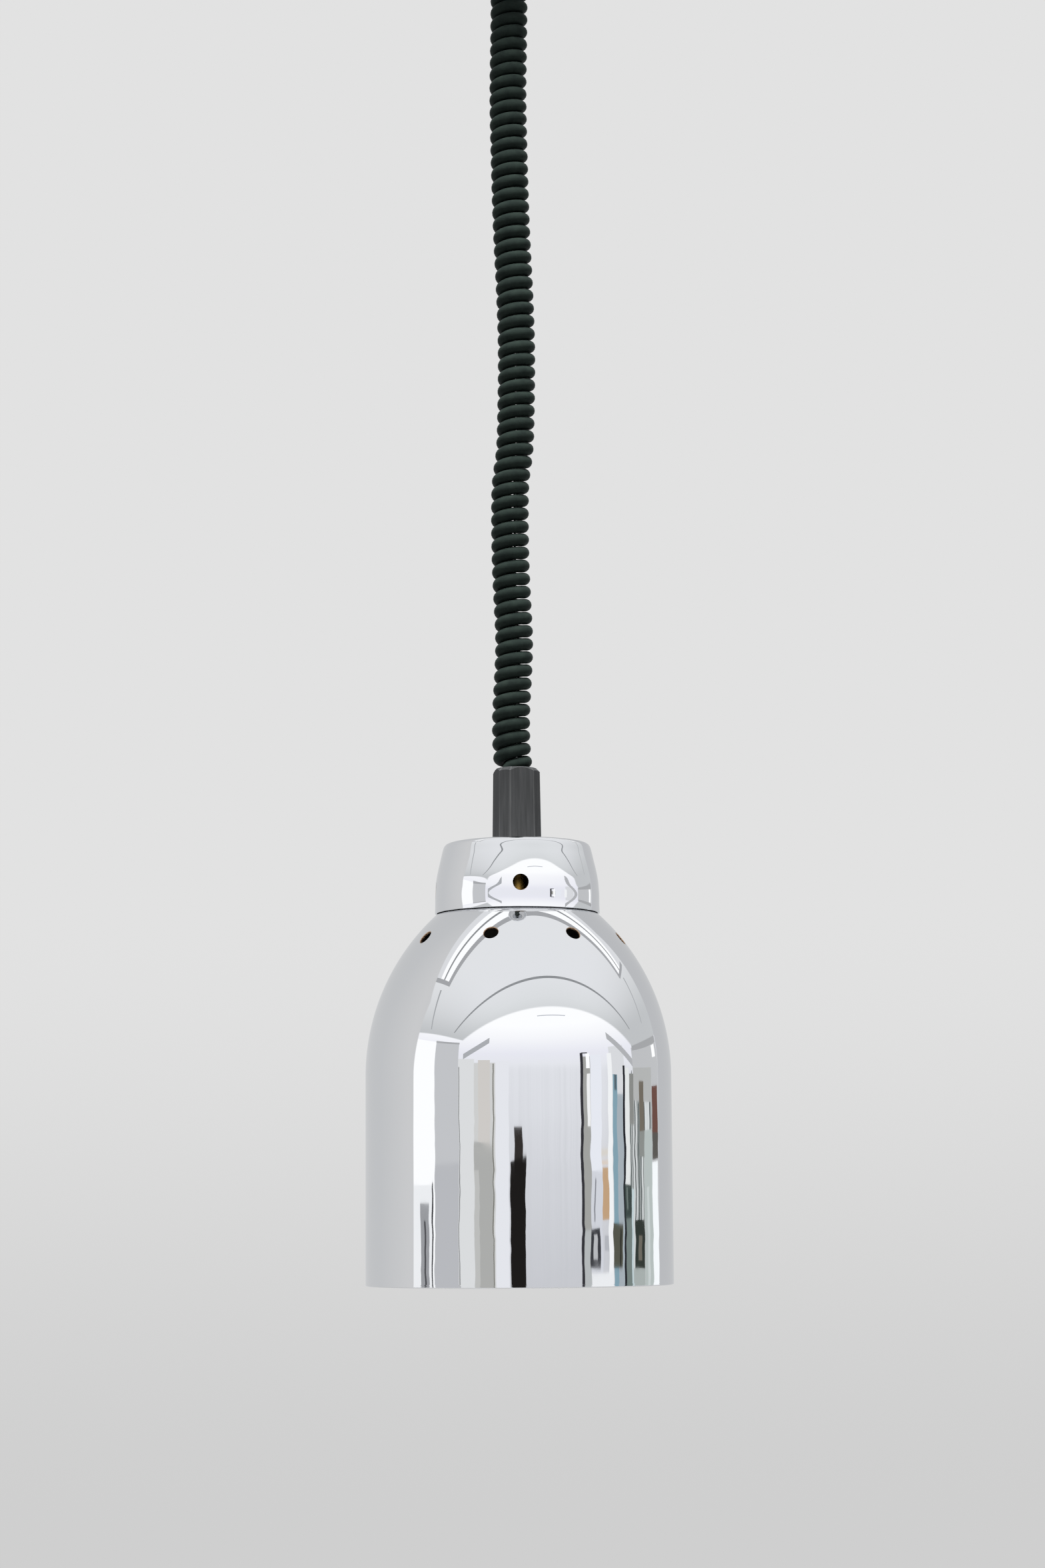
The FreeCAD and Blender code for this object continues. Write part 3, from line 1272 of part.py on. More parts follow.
def bulb_outline():
    """Shared levels and radii of the bulb glass, measured up from its face."""
    spot = SimpleNamespace()
    face_depth = root(size.bulb_face * size.bulb_face - size.bulb_face_edge * size.bulb_face_edge)
    spot.face_rise = size.bulb_face - face_depth
    spot.edge_arc = (size.bulb_radius - size.bulb_face_edge) / (1 - size.bulb_face_edge / size.bulb_face)
    spot.edge_rise = spot.edge_arc * ((size.bulb_face - spot.face_rise) / size.bulb_face)
    spot.widest = spot.face_rise + spot.edge_rise
    spot.base_low = size.bulb_length - size.tip_height - size.insulator_height - size.base_height
    spot.neck_top = spot.base_low - size.bulb_taper
    spot.neck_low = spot.neck_top - size.bulb_neck_length
    rise = spot.neck_low - spot.widest
    narrowing = size.bulb_radius - size.bulb_neck
    spot.flare = (rise * rise + narrowing * narrowing) / (2 * narrowing)
    spot.centre = size.bulb_radius - spot.flare
    spot.foot = size.base_radius - size.base_wall - size.base_fit
    spot.foot_top = spot.base_low + size.bulb_foot
    return spot


def bulb_glass():
    spot = bulb_outline()
    wall = size.bulb_wall
    thin = size.bulb_face - wall
    inner_edge = size.bulb_face_edge * (thin / size.bulb_face)
    inner_rise = size.bulb_face - (size.bulb_face - spot.face_rise) * (thin / size.bulb_face)
    inner_flare = spot.flare - wall
    inner_neck = size.bulb_neck - wall
    reach = inner_neck - spot.centre
    inner_neck_low = spot.widest + root(inner_flare * inner_flare - reach * reach)
    return turned("bulb_glass", (
        corner(0, 0, arc=size.bulb_face), corner(size.bulb_face_edge, spot.face_rise, arc=spot.edge_arc),
        corner(size.bulb_radius, spot.widest, arc=spot.flare), corner(size.bulb_neck, spot.neck_low),
        corner(size.bulb_neck, spot.neck_top), corner(spot.foot, spot.base_low),
        corner(spot.foot, spot.foot_top), corner(0, spot.foot_top), corner(0, spot.foot_top - wall),
        corner(spot.foot - wall, spot.foot_top - wall), corner(spot.foot - wall, spot.base_low),
        corner(inner_neck, spot.neck_top), corner(inner_neck, inner_neck_low, arc=-inner_flare),
        corner(size.bulb_radius - wall, spot.widest, arc=wall - spot.edge_arc),
        corner(inner_edge, inner_rise, arc=-thin), corner(0, wall)), z=bulb_level)


def bulb_base():
    spot = bulb_outline()
    top = spot.base_low + size.base_height
    inner = size.base_radius - size.base_wall
    return turned("bulb_base", (
        corner(inner, spot.base_low), corner(size.base_radius, spot.base_low),
        corner(size.base_radius, top), corner(inner, top)), z=bulb_level)


def bulb_insulator():
    low = bulb_outline().base_low + size.base_height
    return turned("bulb_insulator", (
        corner(0, low), corner(size.base_radius, low), corner(size.tip_radius, low + size.insulator_height),
        corner(0, low + size.insulator_height)), z=bulb_level)


def bulb_tip():
    low = size.bulb_length - size.tip_height
    return turned("bulb_tip", (
        corner(0, low), corner(size.tip_radius, low),
        corner(size.tip_radius, size.bulb_length, soft=size.tip_height * HEAD_ROUND),
        corner(0, size.bulb_length)), z=bulb_level)


def stem_low():
    return bulb_outline().foot_top - size.bulb_wall - size.stem_length


def bulb_stem():
    spot = bulb_outline()
    top = spot.foot_top - size.bulb_wall
    low = stem_low()
    return turned("bulb_stem", (
        corner(0, low), corner(size.stem_radius, low), corner(size.stem_radius, spot.base_low),
        corner(spot.foot - size.bulb_wall - size.seat_clear, top), corner(0, top)), z=bulb_level)


def filament():
    """Open loop of coiled wire on two straight lead-in wires that stand in the end of the stem."""
    radius = size.filament_wire.value
    ring = size.filament_ring.value
    top = stem_low().value
    low = top - size.filament_drop.value
    inset = size.stem_radius.value / 2
    bend = 3 * radius
    points = (Vec(-inset, 0, top), Vec(-inset, 0, low), Vec(-ring, 0, low), Vec(-ring, ring, low),
              Vec(ring, ring, low), Vec(ring, 0, low), Vec(inset, 0, low), Vec(inset, 0, top))
    path, solid = tube(rounded_path(points, bend), radius, points[0], Vec(0, 0, -1))
    report_tube("filament", path, solid, radius)
    return place(feature("filament", solid), z=bulb_level)


BUILDERS = (
    ceiling_plate, ceiling_cup, cup_screws, cord_gland, gland_nut, rope_guide, reel_frame, frame_rivets,
    reel_axle, axle_clips, balance_spring, terminal_block, terminal_screws, ceiling_leads, curly_cord,
    support_rope, reel_drum, spring_cover, cover_screws, rope_winding, grip, grip_bush, rope_ferrule,
    hanger_nipple, hanger_nut, lock_washer, cap, shade_bridge, shade_screws, shade_nuts, dome_shade,
    holder_hood, lampholder, holder_shell, centre_contact, holder_posts, hood_screws, lamp_leads,
    bulb_glass, bulb_base, bulb_insulator, bulb_tip, bulb_stem, filament,
)
pieces = [build() for build in BUILDERS]
doc.recompute()

for obj in doc.Objects:
    if "Invalid" in obj.State or "Error" in obj.State:
        raise RuntimeError(f"{obj.Label} did not build: {obj.State}")
for piece in pieces:
    if piece.Shape.isNull() or not piece.Shape.isValid():
        raise RuntimeError(f"{piece.Label} has no valid shape")

os.makedirs("parts", exist_ok=True)
for piece in pieces:
    piece.Shape.exportStep(f"parts/{piece.Label}.step")
    print(f"{piece.Label}: {len(piece.Shape.Solids)} solid(s), {piece.Shape.Volume:.0f} mm3")
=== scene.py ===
import math
from functools import partial

import bpy
import numpy as np
from mathutils import Matrix, Vector


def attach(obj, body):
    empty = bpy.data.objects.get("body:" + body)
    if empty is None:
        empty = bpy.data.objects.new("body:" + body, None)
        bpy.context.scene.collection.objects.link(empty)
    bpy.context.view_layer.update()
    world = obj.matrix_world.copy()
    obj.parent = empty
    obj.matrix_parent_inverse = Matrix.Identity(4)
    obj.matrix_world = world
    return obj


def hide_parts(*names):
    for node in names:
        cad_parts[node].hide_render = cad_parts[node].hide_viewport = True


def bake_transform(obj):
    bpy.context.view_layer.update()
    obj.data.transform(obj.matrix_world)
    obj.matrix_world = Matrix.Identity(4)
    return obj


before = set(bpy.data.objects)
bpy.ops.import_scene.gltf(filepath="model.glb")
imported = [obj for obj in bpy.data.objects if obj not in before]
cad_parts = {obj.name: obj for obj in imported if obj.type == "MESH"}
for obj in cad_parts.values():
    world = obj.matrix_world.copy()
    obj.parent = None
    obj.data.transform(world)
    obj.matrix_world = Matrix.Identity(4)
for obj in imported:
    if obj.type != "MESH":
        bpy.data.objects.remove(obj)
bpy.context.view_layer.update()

scene = bpy.context.scene
scene.view_settings.view_transform = "Standard"


# Camera, fitted to the rim, the cap, the grip and the turns of the flex.
camera = {
    "place": (0.0035, -1.790, -0.839),
    "lens": 71.5, "sensor": 36, "farthest": 60,
    "lookUp": 7.8,      # degrees
    "lean": -0.39,      # degrees, the picture is not quite level
}


def setCamera():
    bpy.ops.object.camera_add()
    eye = bpy.context.object
    eye.name = "photoCamera"
    eye.data.lens = camera["lens"]
    eye.data.sensor_width = camera["sensor"]
    eye.data.clip_end = camera["farthest"]
    tilt = Matrix.Rotation(math.radians(90 + camera["lookUp"]), 4, "X")
    lean = Matrix.Rotation(math.radians(camera["lean"]), 4, "Z")
    eye.matrix_world = Matrix.Translation(camera["place"]) @ tilt @ lean
    scene.camera = eye


def linear(code):
    values = [int(code[i:i + 2], 16) / 255 for i in (1, 3, 5)]
    return [v / 12.92 if v <= 0.04045 else ((v + 0.055) / 1.055) ** 2.4 for v in values] + [1]


def liveOutput(node):
    return next(output for output in node.outputs if output.enabled)


def addNode(tree, kind, sockets, into=None, **settings):
    # a socket takes a value, a hex colour, another socket, or a node for that node's live output
    node = tree.nodes.new("ShaderNode" + kind)
    for key, value in settings.items():
        setattr(node, key, value)
    for key, value in sockets.items():
        if isinstance(value, bpy.types.Node):
            value = liveOutput(value)
        if isinstance(value, bpy.types.NodeSocket):
            tree.links.new(value, node.inputs[key])
        else:
            node.inputs[key].default_value = linear(value) if isinstance(value, str) else value
    if into:
        tree.links.new(liveOutput(node), into)
    return node


def setStops(ramp, stops):
    bar = ramp.color_ramp
    bar.elements.remove(bar.elements[1])
    bar.elements[0].position = stops[0][0]
    bar.elements[0].color = linear(stops[0][1])
    for place, code in stops[1:]:
        bar.elements.new(place).color = linear(code)


# The studio that the chrome mirrors, drawn with flat panels of tone.
# Azimuth 0 looks from the lamp at the camera, right is positive, all in degrees.
studio = {
    "backdropTop": "#E2E2E2", "backdropLow": "#CFCFCF", "backdropFade": (-0.10, 0.10),
    "mirrored": 1.38,      # chrome keeps about 0.72 of what it mirrors
    "fillTone": "#F5F6F8", "fillFade": (-0.6, 0.8),
    "frontFill": 0.15, "backFill": 0.08, "topFill": 1.8, "lowFill": 0.02,
    "turned": 22,          # the front wall doesn't face the lamp squarely
    "frontEdge": 1.45, "leftEdge": 3.05, "rightEdge": 5.0,   # ceiling edges, in ceiling heights
    "wallSpan": (-2.0, 25.0),       # elevations that the wall's tones run between
    "wallTones": ((0.03, "#C9CACE"), (0.09, "#D3D4D8"), (0.15, "#DFE0E4"), (0.26, "#E6E7EB"),
                  (0.46, "#E9E9F0"), (0.75, "#F8F8FA"), (0.97, "#FFFFFF")),
    "ceilingBack": 0.4, "ceilingFade": (-0.006, 0.03),
    "ceilingTones": ((0.0, "#D5D7D8"), (0.15, "#DCDEDF"), (0.4, "#E2E3E5"), (1.0, "#E2E3E4")),
    "ceilingEnds": "#C0C2C3", "endsFade": (0.7, 3.2),
    "sheetTones": ((0.0, "#B6B7B8"), (0.15, "#BFC0C1"), (0.25, "#CACACA"), (0.84, "#B9BABC"),
                   (1.0, "#B2B3B4")),
    # the sheet behind the lamp starts past all three of these planes: weights of x, y and z
    "sheetPlanes": ((-0.094, 1, 0.087), (-0.375, 0.927, -0.40), (-0.80, 1, -0.101)),
    "sheetFade": (-0.004, 0.012),
    "floorTone": "#C9C9CA", "floorFade": (-0.30, -0.55),
    "streakTone": "#C3C5C8", "streakScale": 0.22, "streakTop": 6.0,
    "waver": 0.8, "waverCells": (0.06, 1.5, 0), "waverTop": 3.0,
    "jumbleTones": ((0.34, "#2B3133"), (0.40, "#8A908F"), (0.46, "#C6CAC9"), (0.54, "#E2E4E3"),
                    (0.60, "#B4B9B7"), (0.66, "#505856")),
    "jumblePlace": (88, 118, -9, 3.7), "jumbleScale": 0.42, "ragged": 2.4,
    # azimuths, elevations, colour and, where it has one, lean
    "wallPanels": (
        # bright panel
        (-92, -65, -9, 15, "#FFFFFF"),
        # grey panel
        (-65, -45.3, -9, 15.2, "#C3C4C6"), (-65, -45.3, -9, 0.9, "#B9BABD"),
        (-65.2, -45.1, 14.6, 15.4, "#A9AAAC"),
        # pale panel
        (-45.3, -33, -9, 7.7, "#DCDDDD"), (-45.0, -44.3, -9, 4, "#8E8F8F"),
        # warm grey blocks in front of it
        (-33, -17, -9, 5.8, "#CFCFCD"), (-30, -21, 1.2, 7.2, "#CFCBC6"), (-33, -19, -9, 1.2, "#ADADAA"),
        (-33, -29, -9, 0.8, "#BEBEBB"), (-18.9, -18.1, -9, 5.4, "#77766F"),
        # beam on the left
        (-41.5, -22, 11.6, 14.2, "#ABADB0", 0.42),
        # low blocks on the left
        (-86, -66, -9, 0.5, "#EEEFF0"), (-78, -70, -9, 0.1, "#9A9B9E"), (-74.5, -73, -9, -0.2, "#4A4A4D"),
        (-67.6, -66.6, -9, 0.55, "#222226"),
        # pale upright
        (-17, -7, -9, 6.5, "#E6E7EB"),
        # dark upright
        (-6, 4.8, -9, 0.95, "#1E1C1B"), (-3, 2.4, 0.95, 1.5, "#332F2D"),
        # pale strip
        (55, 64.5, -9, 9, "#E8EAF0"), (55, 64.5, -9, 0.7, "#D2D4DA"), (57.6, 58.6, -0.1, 0.55, "#85878D"),
        # grey post
        (49.2, 55, -9, 8.4, "#A3A39F"), (51.6, 54.6, 3.3, 9.8, "#FFFFFF"), (52.2, 54.8, 1.5, 2.5, "#F2F2F1"),
        (49.2, 55, -9, -0.3, "#B6B9B9"), (48.2, 53, 9.8, 10.3, "#55555A"), (47.0, 49.2, -9, 10.1, "#343338"),
        # end wall
        (72, 86, -9, 12, "#D9DADC"), (70, 74, -9, 9.4, "#F2F3F3"),
        # beam on the right
        (72, 95, 9.6, 12.4, "#B1B2B4", -0.5), (95, 129, -9, 10.4, "#BFC0C1"), (96, 129, 9.4, 11.6, "#A6A7A8"),
        # low blocks on the right
        (54.5, 62.3, -1.1, -0.3, "#3C3D41"), (56.8, 59.8, -0.98, -0.48, "#B9BABC"),
        (55, 74, -9, -1.15, "#EDEEEF"), (64.5, 70, 1.02, 1.12, "#D9D3C9"), (64.5, 70, 0.84, 0.94, "#DCCFC3"),
        (64.5, 70, -0.1, 0.78, "#C2A17E"), (66, 70, -0.8, -0.55, "#B4B6BB"), (78.6, 85, -9, 2.1, "#A7B0B6"),
        (74.5, 78.6, -9, 2.48, "#84A2AF"), (75.8, 78, 2.15, 2.48, "#55656D"),
        (74, 82.5, -1.1, -0.2, "#55564B"), (79.5, 81, -1.1, -0.3, "#33342E"),
        (84.4, 86.4, -9, 4.3, "#24262A"),
    ),
    # in front of the uneven uprights
    "rightPanels": (
        (95.5, 118, 2.0, 3.6, "#B4B5B3"), (86.6, 90.5, 0.47, 3.6, "#E6E8E6"), (91, 95.5, 1.6, 2.6, "#8B8C88"),
        (85.8, 92, -0.1, 0.47, "#3D4845"), (87.5, 89, 0.05, 0.4, "#6E7975"), (86.4, 92, -9, -0.1, "#76827E"),
        (92.4, 94.4, -9, 0.4, "#C3D2D4"), (102, 107.5, 1.48, 2.3, "#736C61"),
        (102, 107.5, 0.93, 1.48, "#8C8F8B"), (96.5, 107, -1.12, -0.15, "#343A35"),
        (99.5, 103.5, -0.98, -0.47, "#6D6A60"), (94.5, 107, -9, -1.12, "#A9B0AD"),
        (107.5, 118.5, -9, 1.48, "#B7BFBC"), (111, 114, -9, 0.4, "#C9D0CE"),
        (118.5, 127.5, -9, 0.86, "#F6F9FA"), (119, 128, 0.9, 1.42, "#5B5854"),
        (118.8, 127.5, 1.42, 2.25, "#6C4D45"), (121, 126, 6.2, 9.2, "#FFFFFF"),
    ),
    # across and along the ceiling, in ceiling heights
    "ceilingPanels": (
        # rail
        (-2.6, 3.2, -0.825, -0.785, "#8F9193"),
        # second rail
        (-2.7, -1.3, 0.175, 0.210, "#A1A3A5"), (1.7, 3.4, 0.175, 0.210, "#A1A3A5"),
        # bright panel in a grey frame
        (-1.18, 1.62, 0.03, 0.48, "#A4A5A7"), (-1.10, 1.55, 0.095, 0.48, "#FFFFFF"),
        (-1.10, 1.55, 0.195, 0.225, "#8D8F91"), (-1.10, 1.55, 0.30, 0.48, "#DADBDD"),
        # slot over the front wall
        (-0.18, 0.54, -1.72, -1.69, "#B5B8C0"),
    ),
}


def addPanel(add, below, u, v, left, right, low, high, tone, lean=0):
    # a flat panel of one tone over what is there already
    level = add("Math", {0: u, 1: -lean, 2: v}, operation="MULTIPLY_ADD") if lean else v
    across, middle = (left + right) / 2, (low + high) / 2 - lean * (left + right) / 2
    wide = add("Math", {0: u, 1: across, 2: (right - left) / 2}, operation="COMPARE")
    tall = add("Math", {0: level, 1: middle, 2: (high - low) / 2}, operation="COMPARE")
    inside = add("Math", {0: wide, 1: tall}, operation="MULTIPLY")
    return add("Mix", {0: inside, 6: below, 7: tone}, data_type="RGBA")


def fadeTo(add, below, tone, along, start, end):
    # one tone gives way to another as a value runs from start to end
    share = add("MapRange", {0: along, 1: start, 2: end}, interpolation_type="SMOOTHSTEP")
    return add("Mix", {0: share, 6: below, 7: tone}, data_type="RGBA")


def tonesAlong(add, along, start, end, stops):
    share = add("MapRange", {0: along, 1: start, 2: end})
    tones = add("ValToRGB", {0: share})
    setStops(tones, stops)
    return tones


def pastPlanes(add, direction, planes):
    # how far a direction lies past the nearest of several planes
    nearest = None
    for plane in planes:
        depth = add("VectorMath", {0: direction, 1: plane}, operation="DOT_PRODUCT")
        if nearest:
            depth = add("Math", {0: nearest, 1: depth}, operation="MINIMUM")
        nearest = depth
    return nearest


def buildStudio():
    world = bpy.data.worlds.new("paleStudio")
    scene.world = world
    world.use_nodes = True
    world.node_tree.nodes.clear()
    add = partial(addNode, world.node_tree)
    toDegrees = 180 / math.pi
    view = add("TexCoord", {}).outputs["Generated"]
    x, y, z = add("SeparateXYZ", {0: view}).outputs
    front = add("Math", {0: y, 1: -1}, operation="MULTIPLY")
    bearing = add("Math", {0: x, 1: front}, operation="ARCTAN2")
    turn = add("Math", {0: bearing, 1: toDegrees}, operation="MULTIPLY")
    up = add("Math", {0: z, 1: toDegrees}, operation="MULTIPLY")

    # low uprights waver a little
    spot = add("CombineXYZ", {0: turn, 1: up})
    spot = add("VectorMath", {0: spot, 1: studio["waverCells"]}, operation="MULTIPLY")
    waver = add("TexNoise", {"Vector": spot, "Scale": 1}, noise_dimensions="2D")
    waver = add("MapRange", {0: waver, 1: 0.25, 2: 0.75, 3: -studio["waver"], 4: studio["waver"]})
    lowness = add("MapRange", {0: up, 1: studio["waverTop"], 2: 1.0})
    turn = add("Math", {0: waver, 1: lowness, 2: turn}, operation="MULTIPLY_ADD")

    # walls, brighter towards the ceiling and streaked low down
    wallTone = tonesAlong(add, up, *studio["wallSpan"], studio["wallTones"])
    streaks = add("TexNoise", {"W": turn, "Scale": studio["streakScale"], "Detail": 4, "Roughness": 0.7},
                  noise_dimensions="1D")
    dim = add("MapRange", {0: streaks, 1: 0.42, 2: 0.7, 4: 0.3})
    lowness = add("MapRange", {0: up, 1: studio["streakTop"], 2: 1.0})
    share = add("Math", {0: dim, 1: lowness}, operation="MULTIPLY")
    wall = add("Mix", {0: share, 6: wallTone, 7: studio["streakTone"]}, data_type="RGBA")
    for panel in studio["wallPanels"]:
        wall = addPanel(add, wall, turn, up, *panel)

    # thin uprights of uneven height on the right
    jumble = add("TexNoise", {"W": turn, "Scale": studio["jumbleScale"], "Detail": 2}, noise_dimensions="1D")
    jumbleTone = tonesAlong(add, jumble, 0, 1, studio["jumbleTones"])
    ragged = add("Math", {0: jumble, 1: studio["ragged"], 2: up}, operation="MULTIPLY_ADD")
    wall = addPanel(add, wall, turn, ragged, *studio["jumblePlace"], jumbleTone)
    for panel in studio["rightPanels"]:
        wall = addPanel(add, wall, turn, up, *panel)

    # ceiling, flat above the lamp and turned with the walls
    squared = add("VectorRotate", {"Vector": view, "Angle": -math.radians(studio["turned"])},
                  rotation_type="Z_AXIS")
    rise = add("Math", {0: z, 1: 0.02}, operation="MAXIMUM")
    onCeiling = add("VectorMath", {0: squared, 1: rise}, operation="DIVIDE")
    across, along = add("SeparateXYZ", {0: onCeiling}).outputs[:2]
    ceiling = tonesAlong(add, along, -studio["frontEdge"], studio["ceilingBack"], studio["ceilingTones"])
    away = add("Math", {0: across}, operation="ABSOLUTE")
    ceiling = fadeTo(add, ceiling, studio["ceilingEnds"], away, *studio["endsFade"])
    edges = ((0, 1, studio["frontEdge"]), (1, 0, studio["leftEdge"]), (-1, 0, studio["rightEdge"]))
    mirrored = fadeTo(add, wall, ceiling, pastPlanes(add, squared, edges), *studio["ceilingFade"])
    for panel in studio["ceilingPanels"]:
        mirrored = addPanel(add, mirrored, across, along, *panel)

    # the grey sheet behind the lamp, and the floor
    sheet = tonesAlong(add, turn, -180.0, 180.0, studio["sheetTones"])
    behind = pastPlanes(add, view, studio["sheetPlanes"])
    mirrored = fadeTo(add, mirrored, sheet, behind, *studio["sheetFade"])
    mirrored = fadeTo(add, mirrored, studio["floorTone"], z, *studio["floorFade"])

    # the camera sees a pale backdrop, matt surfaces a soft light from the front and above
    seen = fadeTo(add, studio["backdropLow"], studio["backdropTop"], z, *studio["backdropFade"])
    start, end = studio["fillFade"]
    ahead = add("MapRange", {0: front, 1: start, 2: end, 3: studio["backFill"], 4: studio["frontFill"]},
                interpolation_type="SMOOTHSTEP")
    above = add("MapRange", {0: z, 1: start, 2: end, 3: studio["lowFill"], 4: studio["topFill"]})
    fill = add("Math", {0: ahead, 1: above}, operation="MULTIPLY")
    path = add("LightPath", {}).outputs
    looks = add("Math", {0: path["Is Glossy Ray"], 1: path["Is Transmission Ray"]}, operation="MAXIMUM")
    plain = add("Background", {0: studio["fillTone"], 1: fill})
    mirror = add("Background", {0: mirrored, 1: studio["mirrored"]})
    pale = add("Background", {0: seen, 1: 1.0})
    mixed = add("MixShader", {0: looks, 1: plain, 2: mirror})
    mixed = add("MixShader", {0: path["Is Camera Ray"], 1: mixed, 2: pale})
    add("OutputWorld", {0: mixed})


softboxes = (
    # name, place, aim, size, watts
    ("keyBox", (-0.03, -0.84, 1.7), (0, 0, -0.45), 1.0, 74),
    ("fillBox", (-0.2, -2.2, 0.1), (0, 0, -0.6), 1.2, 1.5),
    ("rimBox", (0.5, 1.9, 0.3), (0, 0, -0.6), 1.0, 14),
    ("underBox", (0, 0, -3.2), (0, 0, -0.8), 0.35, 22),      # up into the shade, which keeps it off the flex
)


def setLights():
    for name, place, aim, size, watts in softboxes:
        bpy.ops.object.light_add(type="AREA", location=place)
        box = bpy.context.object
        box.name = name
        box.data.size = size
        box.data.energy = watts
        box.visible_glossy = box.visible_camera = False
        heading = Vector(aim) - Vector(place)
        box.rotation_euler = heading.to_track_quat("-Z", "Y").to_euler()


paleFloor = {
    "radius": 6, "level": -3.4, "edges": 96, "paint": "#DFDFDE", "roughness": 0.85,
    "glow": "#D4D4D4", "glowStrength": 0.75,      # lifts what is seen of it to the tone of the backdrop
}


def makeFloor():
    bpy.ops.mesh.primitive_circle_add(vertices=paleFloor["edges"], radius=paleFloor["radius"],
                                      fill_type="NGON", location=(0, 0, paleFloor["level"]))
    floor = bpy.context.object
    floor.name = "paleFloor"
    paint = bpy.data.materials.new("paleFloorPaint")
    paint.use_nodes = True
    nodes = paint.node_tree.nodes
    add = partial(addNode, paint.node_tree)
    shader = nodes["Principled BSDF"]
    shader.inputs["Base Color"].default_value = linear(paleFloor["paint"])
    shader.inputs["Roughness"].default_value = paleFloor["roughness"]
    shader.inputs["Emission Color"].default_value = linear(paleFloor["glow"])
    path = add("LightPath", {}).outputs
    seen = add("Math", {0: path["Is Camera Ray"], 1: path["Is Glossy Ray"]}, operation="MAXIMUM")
    add("Math", {0: seen, 1: paleFloor["glowStrength"]}, shader.inputs["Emission Strength"],
        operation="MULTIPLY")
    # clear from below, so that a low view sees past it
    under = add("NewGeometry", {}).outputs["Backfacing"]
    clear = add("BsdfTransparent", {})
    add("MixShader", {0: under, 1: shader, 2: clear}, nodes["Material Output"].inputs[0])
    floor.data.materials.append(paint)


setCamera()
buildStudio()
setLights()
makeFloor()
print("camera, studio and lights are set")


def newFinish(name, base, metallic, roughness, more={}):
    finish = bpy.data.materials.new(name)
    finish.use_nodes = True
    add = partial(addNode, finish.node_tree)
    look = finish.node_tree.nodes["Principled BSDF"].inputs
    values = {"Base Color": linear(base), "Metallic": metallic, "Roughness": roughness, **more}
    for socket, value in values.items():
        look[socket].default_value = value
    place = add("TexCoord", {}).outputs["Object"]
    return finish, add, look, place


def perMm(spacing):
    # scale of a pattern whose cells are this many millimetres apart
    return 1000 / spacing


def mottle(add, look, place, spacing, colours, gloss=None, relief=None):
    # clouds of colour, which can also vary the roughness (from, to) and the relief (strength, millimetres)
    clouds = add("TexNoise", {"Vector": place, "Scale": perMm(spacing), "Detail": 3})
    tone = add("ValToRGB", {0: clouds}, look["Base Color"])
    setStops(tone, ((0.32, colours[0]), (0.68, colours[1])))
    if gloss:
        add("MapRange", {0: clouds, 1: 0.3, 2: 0.7, 3: gloss[0], 4: gloss[1]}, look["Roughness"])
    if relief:
        add("Bump", {"Height": clouds, "Strength": relief[0], "Distance": relief[1] / 1000}, look["Normal"])


def mouldGrain(add, look, place, spacing, strength, depth):
    # the fine even relief that a mould or a die leaves, sizes in millimetres
    grain = add("TexNoise", {"Vector": place, "Scale": perMm(spacing), "Detail": 2})
    add("Bump", {"Height": grain, "Strength": strength, "Distance": depth / 1000}, look["Normal"])


def cloudedFinish(name, base, metallic, roughness, spacing, colours, gloss=None, relief=None, grain=None,
                  more={}):
    finish, *kit = newFinish(name, base, metallic, roughness, more)
    mottle(*kit, spacing, colours, gloss, relief)
    if grain:
        mouldGrain(*kit, *grain)
    return finish


def polishedChrome():
    # Chromium plate on spun steel: a clear mirror, a little darker than silver, with the swim of spun sheet.
    finish, add, look, place = newFinish("polishedChrome", "#DBDCDE", 1, 0.015)
    haze = add("TexNoise", {"Vector": place, "Scale": perMm(9), "Detail": 4})
    add("MapRange", {0: haze, 1: 0.3, 2: 0.7, 3: 0.008, 4: 0.022}, look["Roughness"])
    swim = add("TexNoise", {"Vector": place, "Scale": perMm(42), "Detail": 1})
    add("Bump", {"Height": swim, "Strength": 0.15, "Distance": 0.5 / 1000}, look["Normal"])
    return finish


def cutEdge():
    # Punched edge through the plating: a warm line of copper flash with dull steel behind it.
    return cloudedFinish("punchedCopperFlash", "#B39478", 1, 0.4, 1.2, ("#9C7C62", "#C4AA90"),
                         gloss=(0.34, 0.5))


def insideWithPaintedShade():
    # The unplated inside of spun steel: satin, made dark partly by heat tint and partly as painted shade,
    # with rings from the spinning tool.
    finish, add, look, place = newFinish("spunSteelHeatTintAndPaintedShade", "#4A4744", 0.6, 0.6)
    mottle(add, look, place, 14, ("#3F3C3A", "#58544E"))
    height = add("SeparateXYZ", {0: place}).outputs[2]
    rings = add("Math", {0: height, 1: 2 * math.pi * perMm(1.6)}, operation="MULTIPLY")
    rings = add("Math", {0: rings}, operation="SINE")
    add("Bump", {"Height": rings, "Strength": 0.25, "Distance": 0.05 / 1000}, look["Normal"])
    return finish


def flexRubber():
    # Extruded rubber sheath: near black with a grey-green bloom, satin, with a fine pull grain.
    return cloudedFinish("flexRubber", "#353F3B", 0, 0.5, 6, ("#2F3835", "#3B4641"), gloss=(0.44, 0.56),
                         grain=(0.55, 0.25, 0.06), more={"Specular IOR Level": 0.04})


def mouldedNylon():
    # Black glass-filled nylon from a spark-eroded mould: an even fine grain that greys the black a little.
    return cloudedFinish("mouldedBlackNylon", "#222527", 0, 0.5, 10, ("#1F2224", "#282B2D"),
                         gloss=(0.42, 0.52), grain=(0.45, 0.3, 0.05), more={"Specular IOR Level": 0.2})


# turn and width of the grip's facets, and how far from each edge its painted highlight starts and where it is
# full
gripFacets = {"turn": 255.5, "wide": 60.0, "edgeHighlightStart": 3.2, "edgeHighlightFull": 0.6}    # degrees


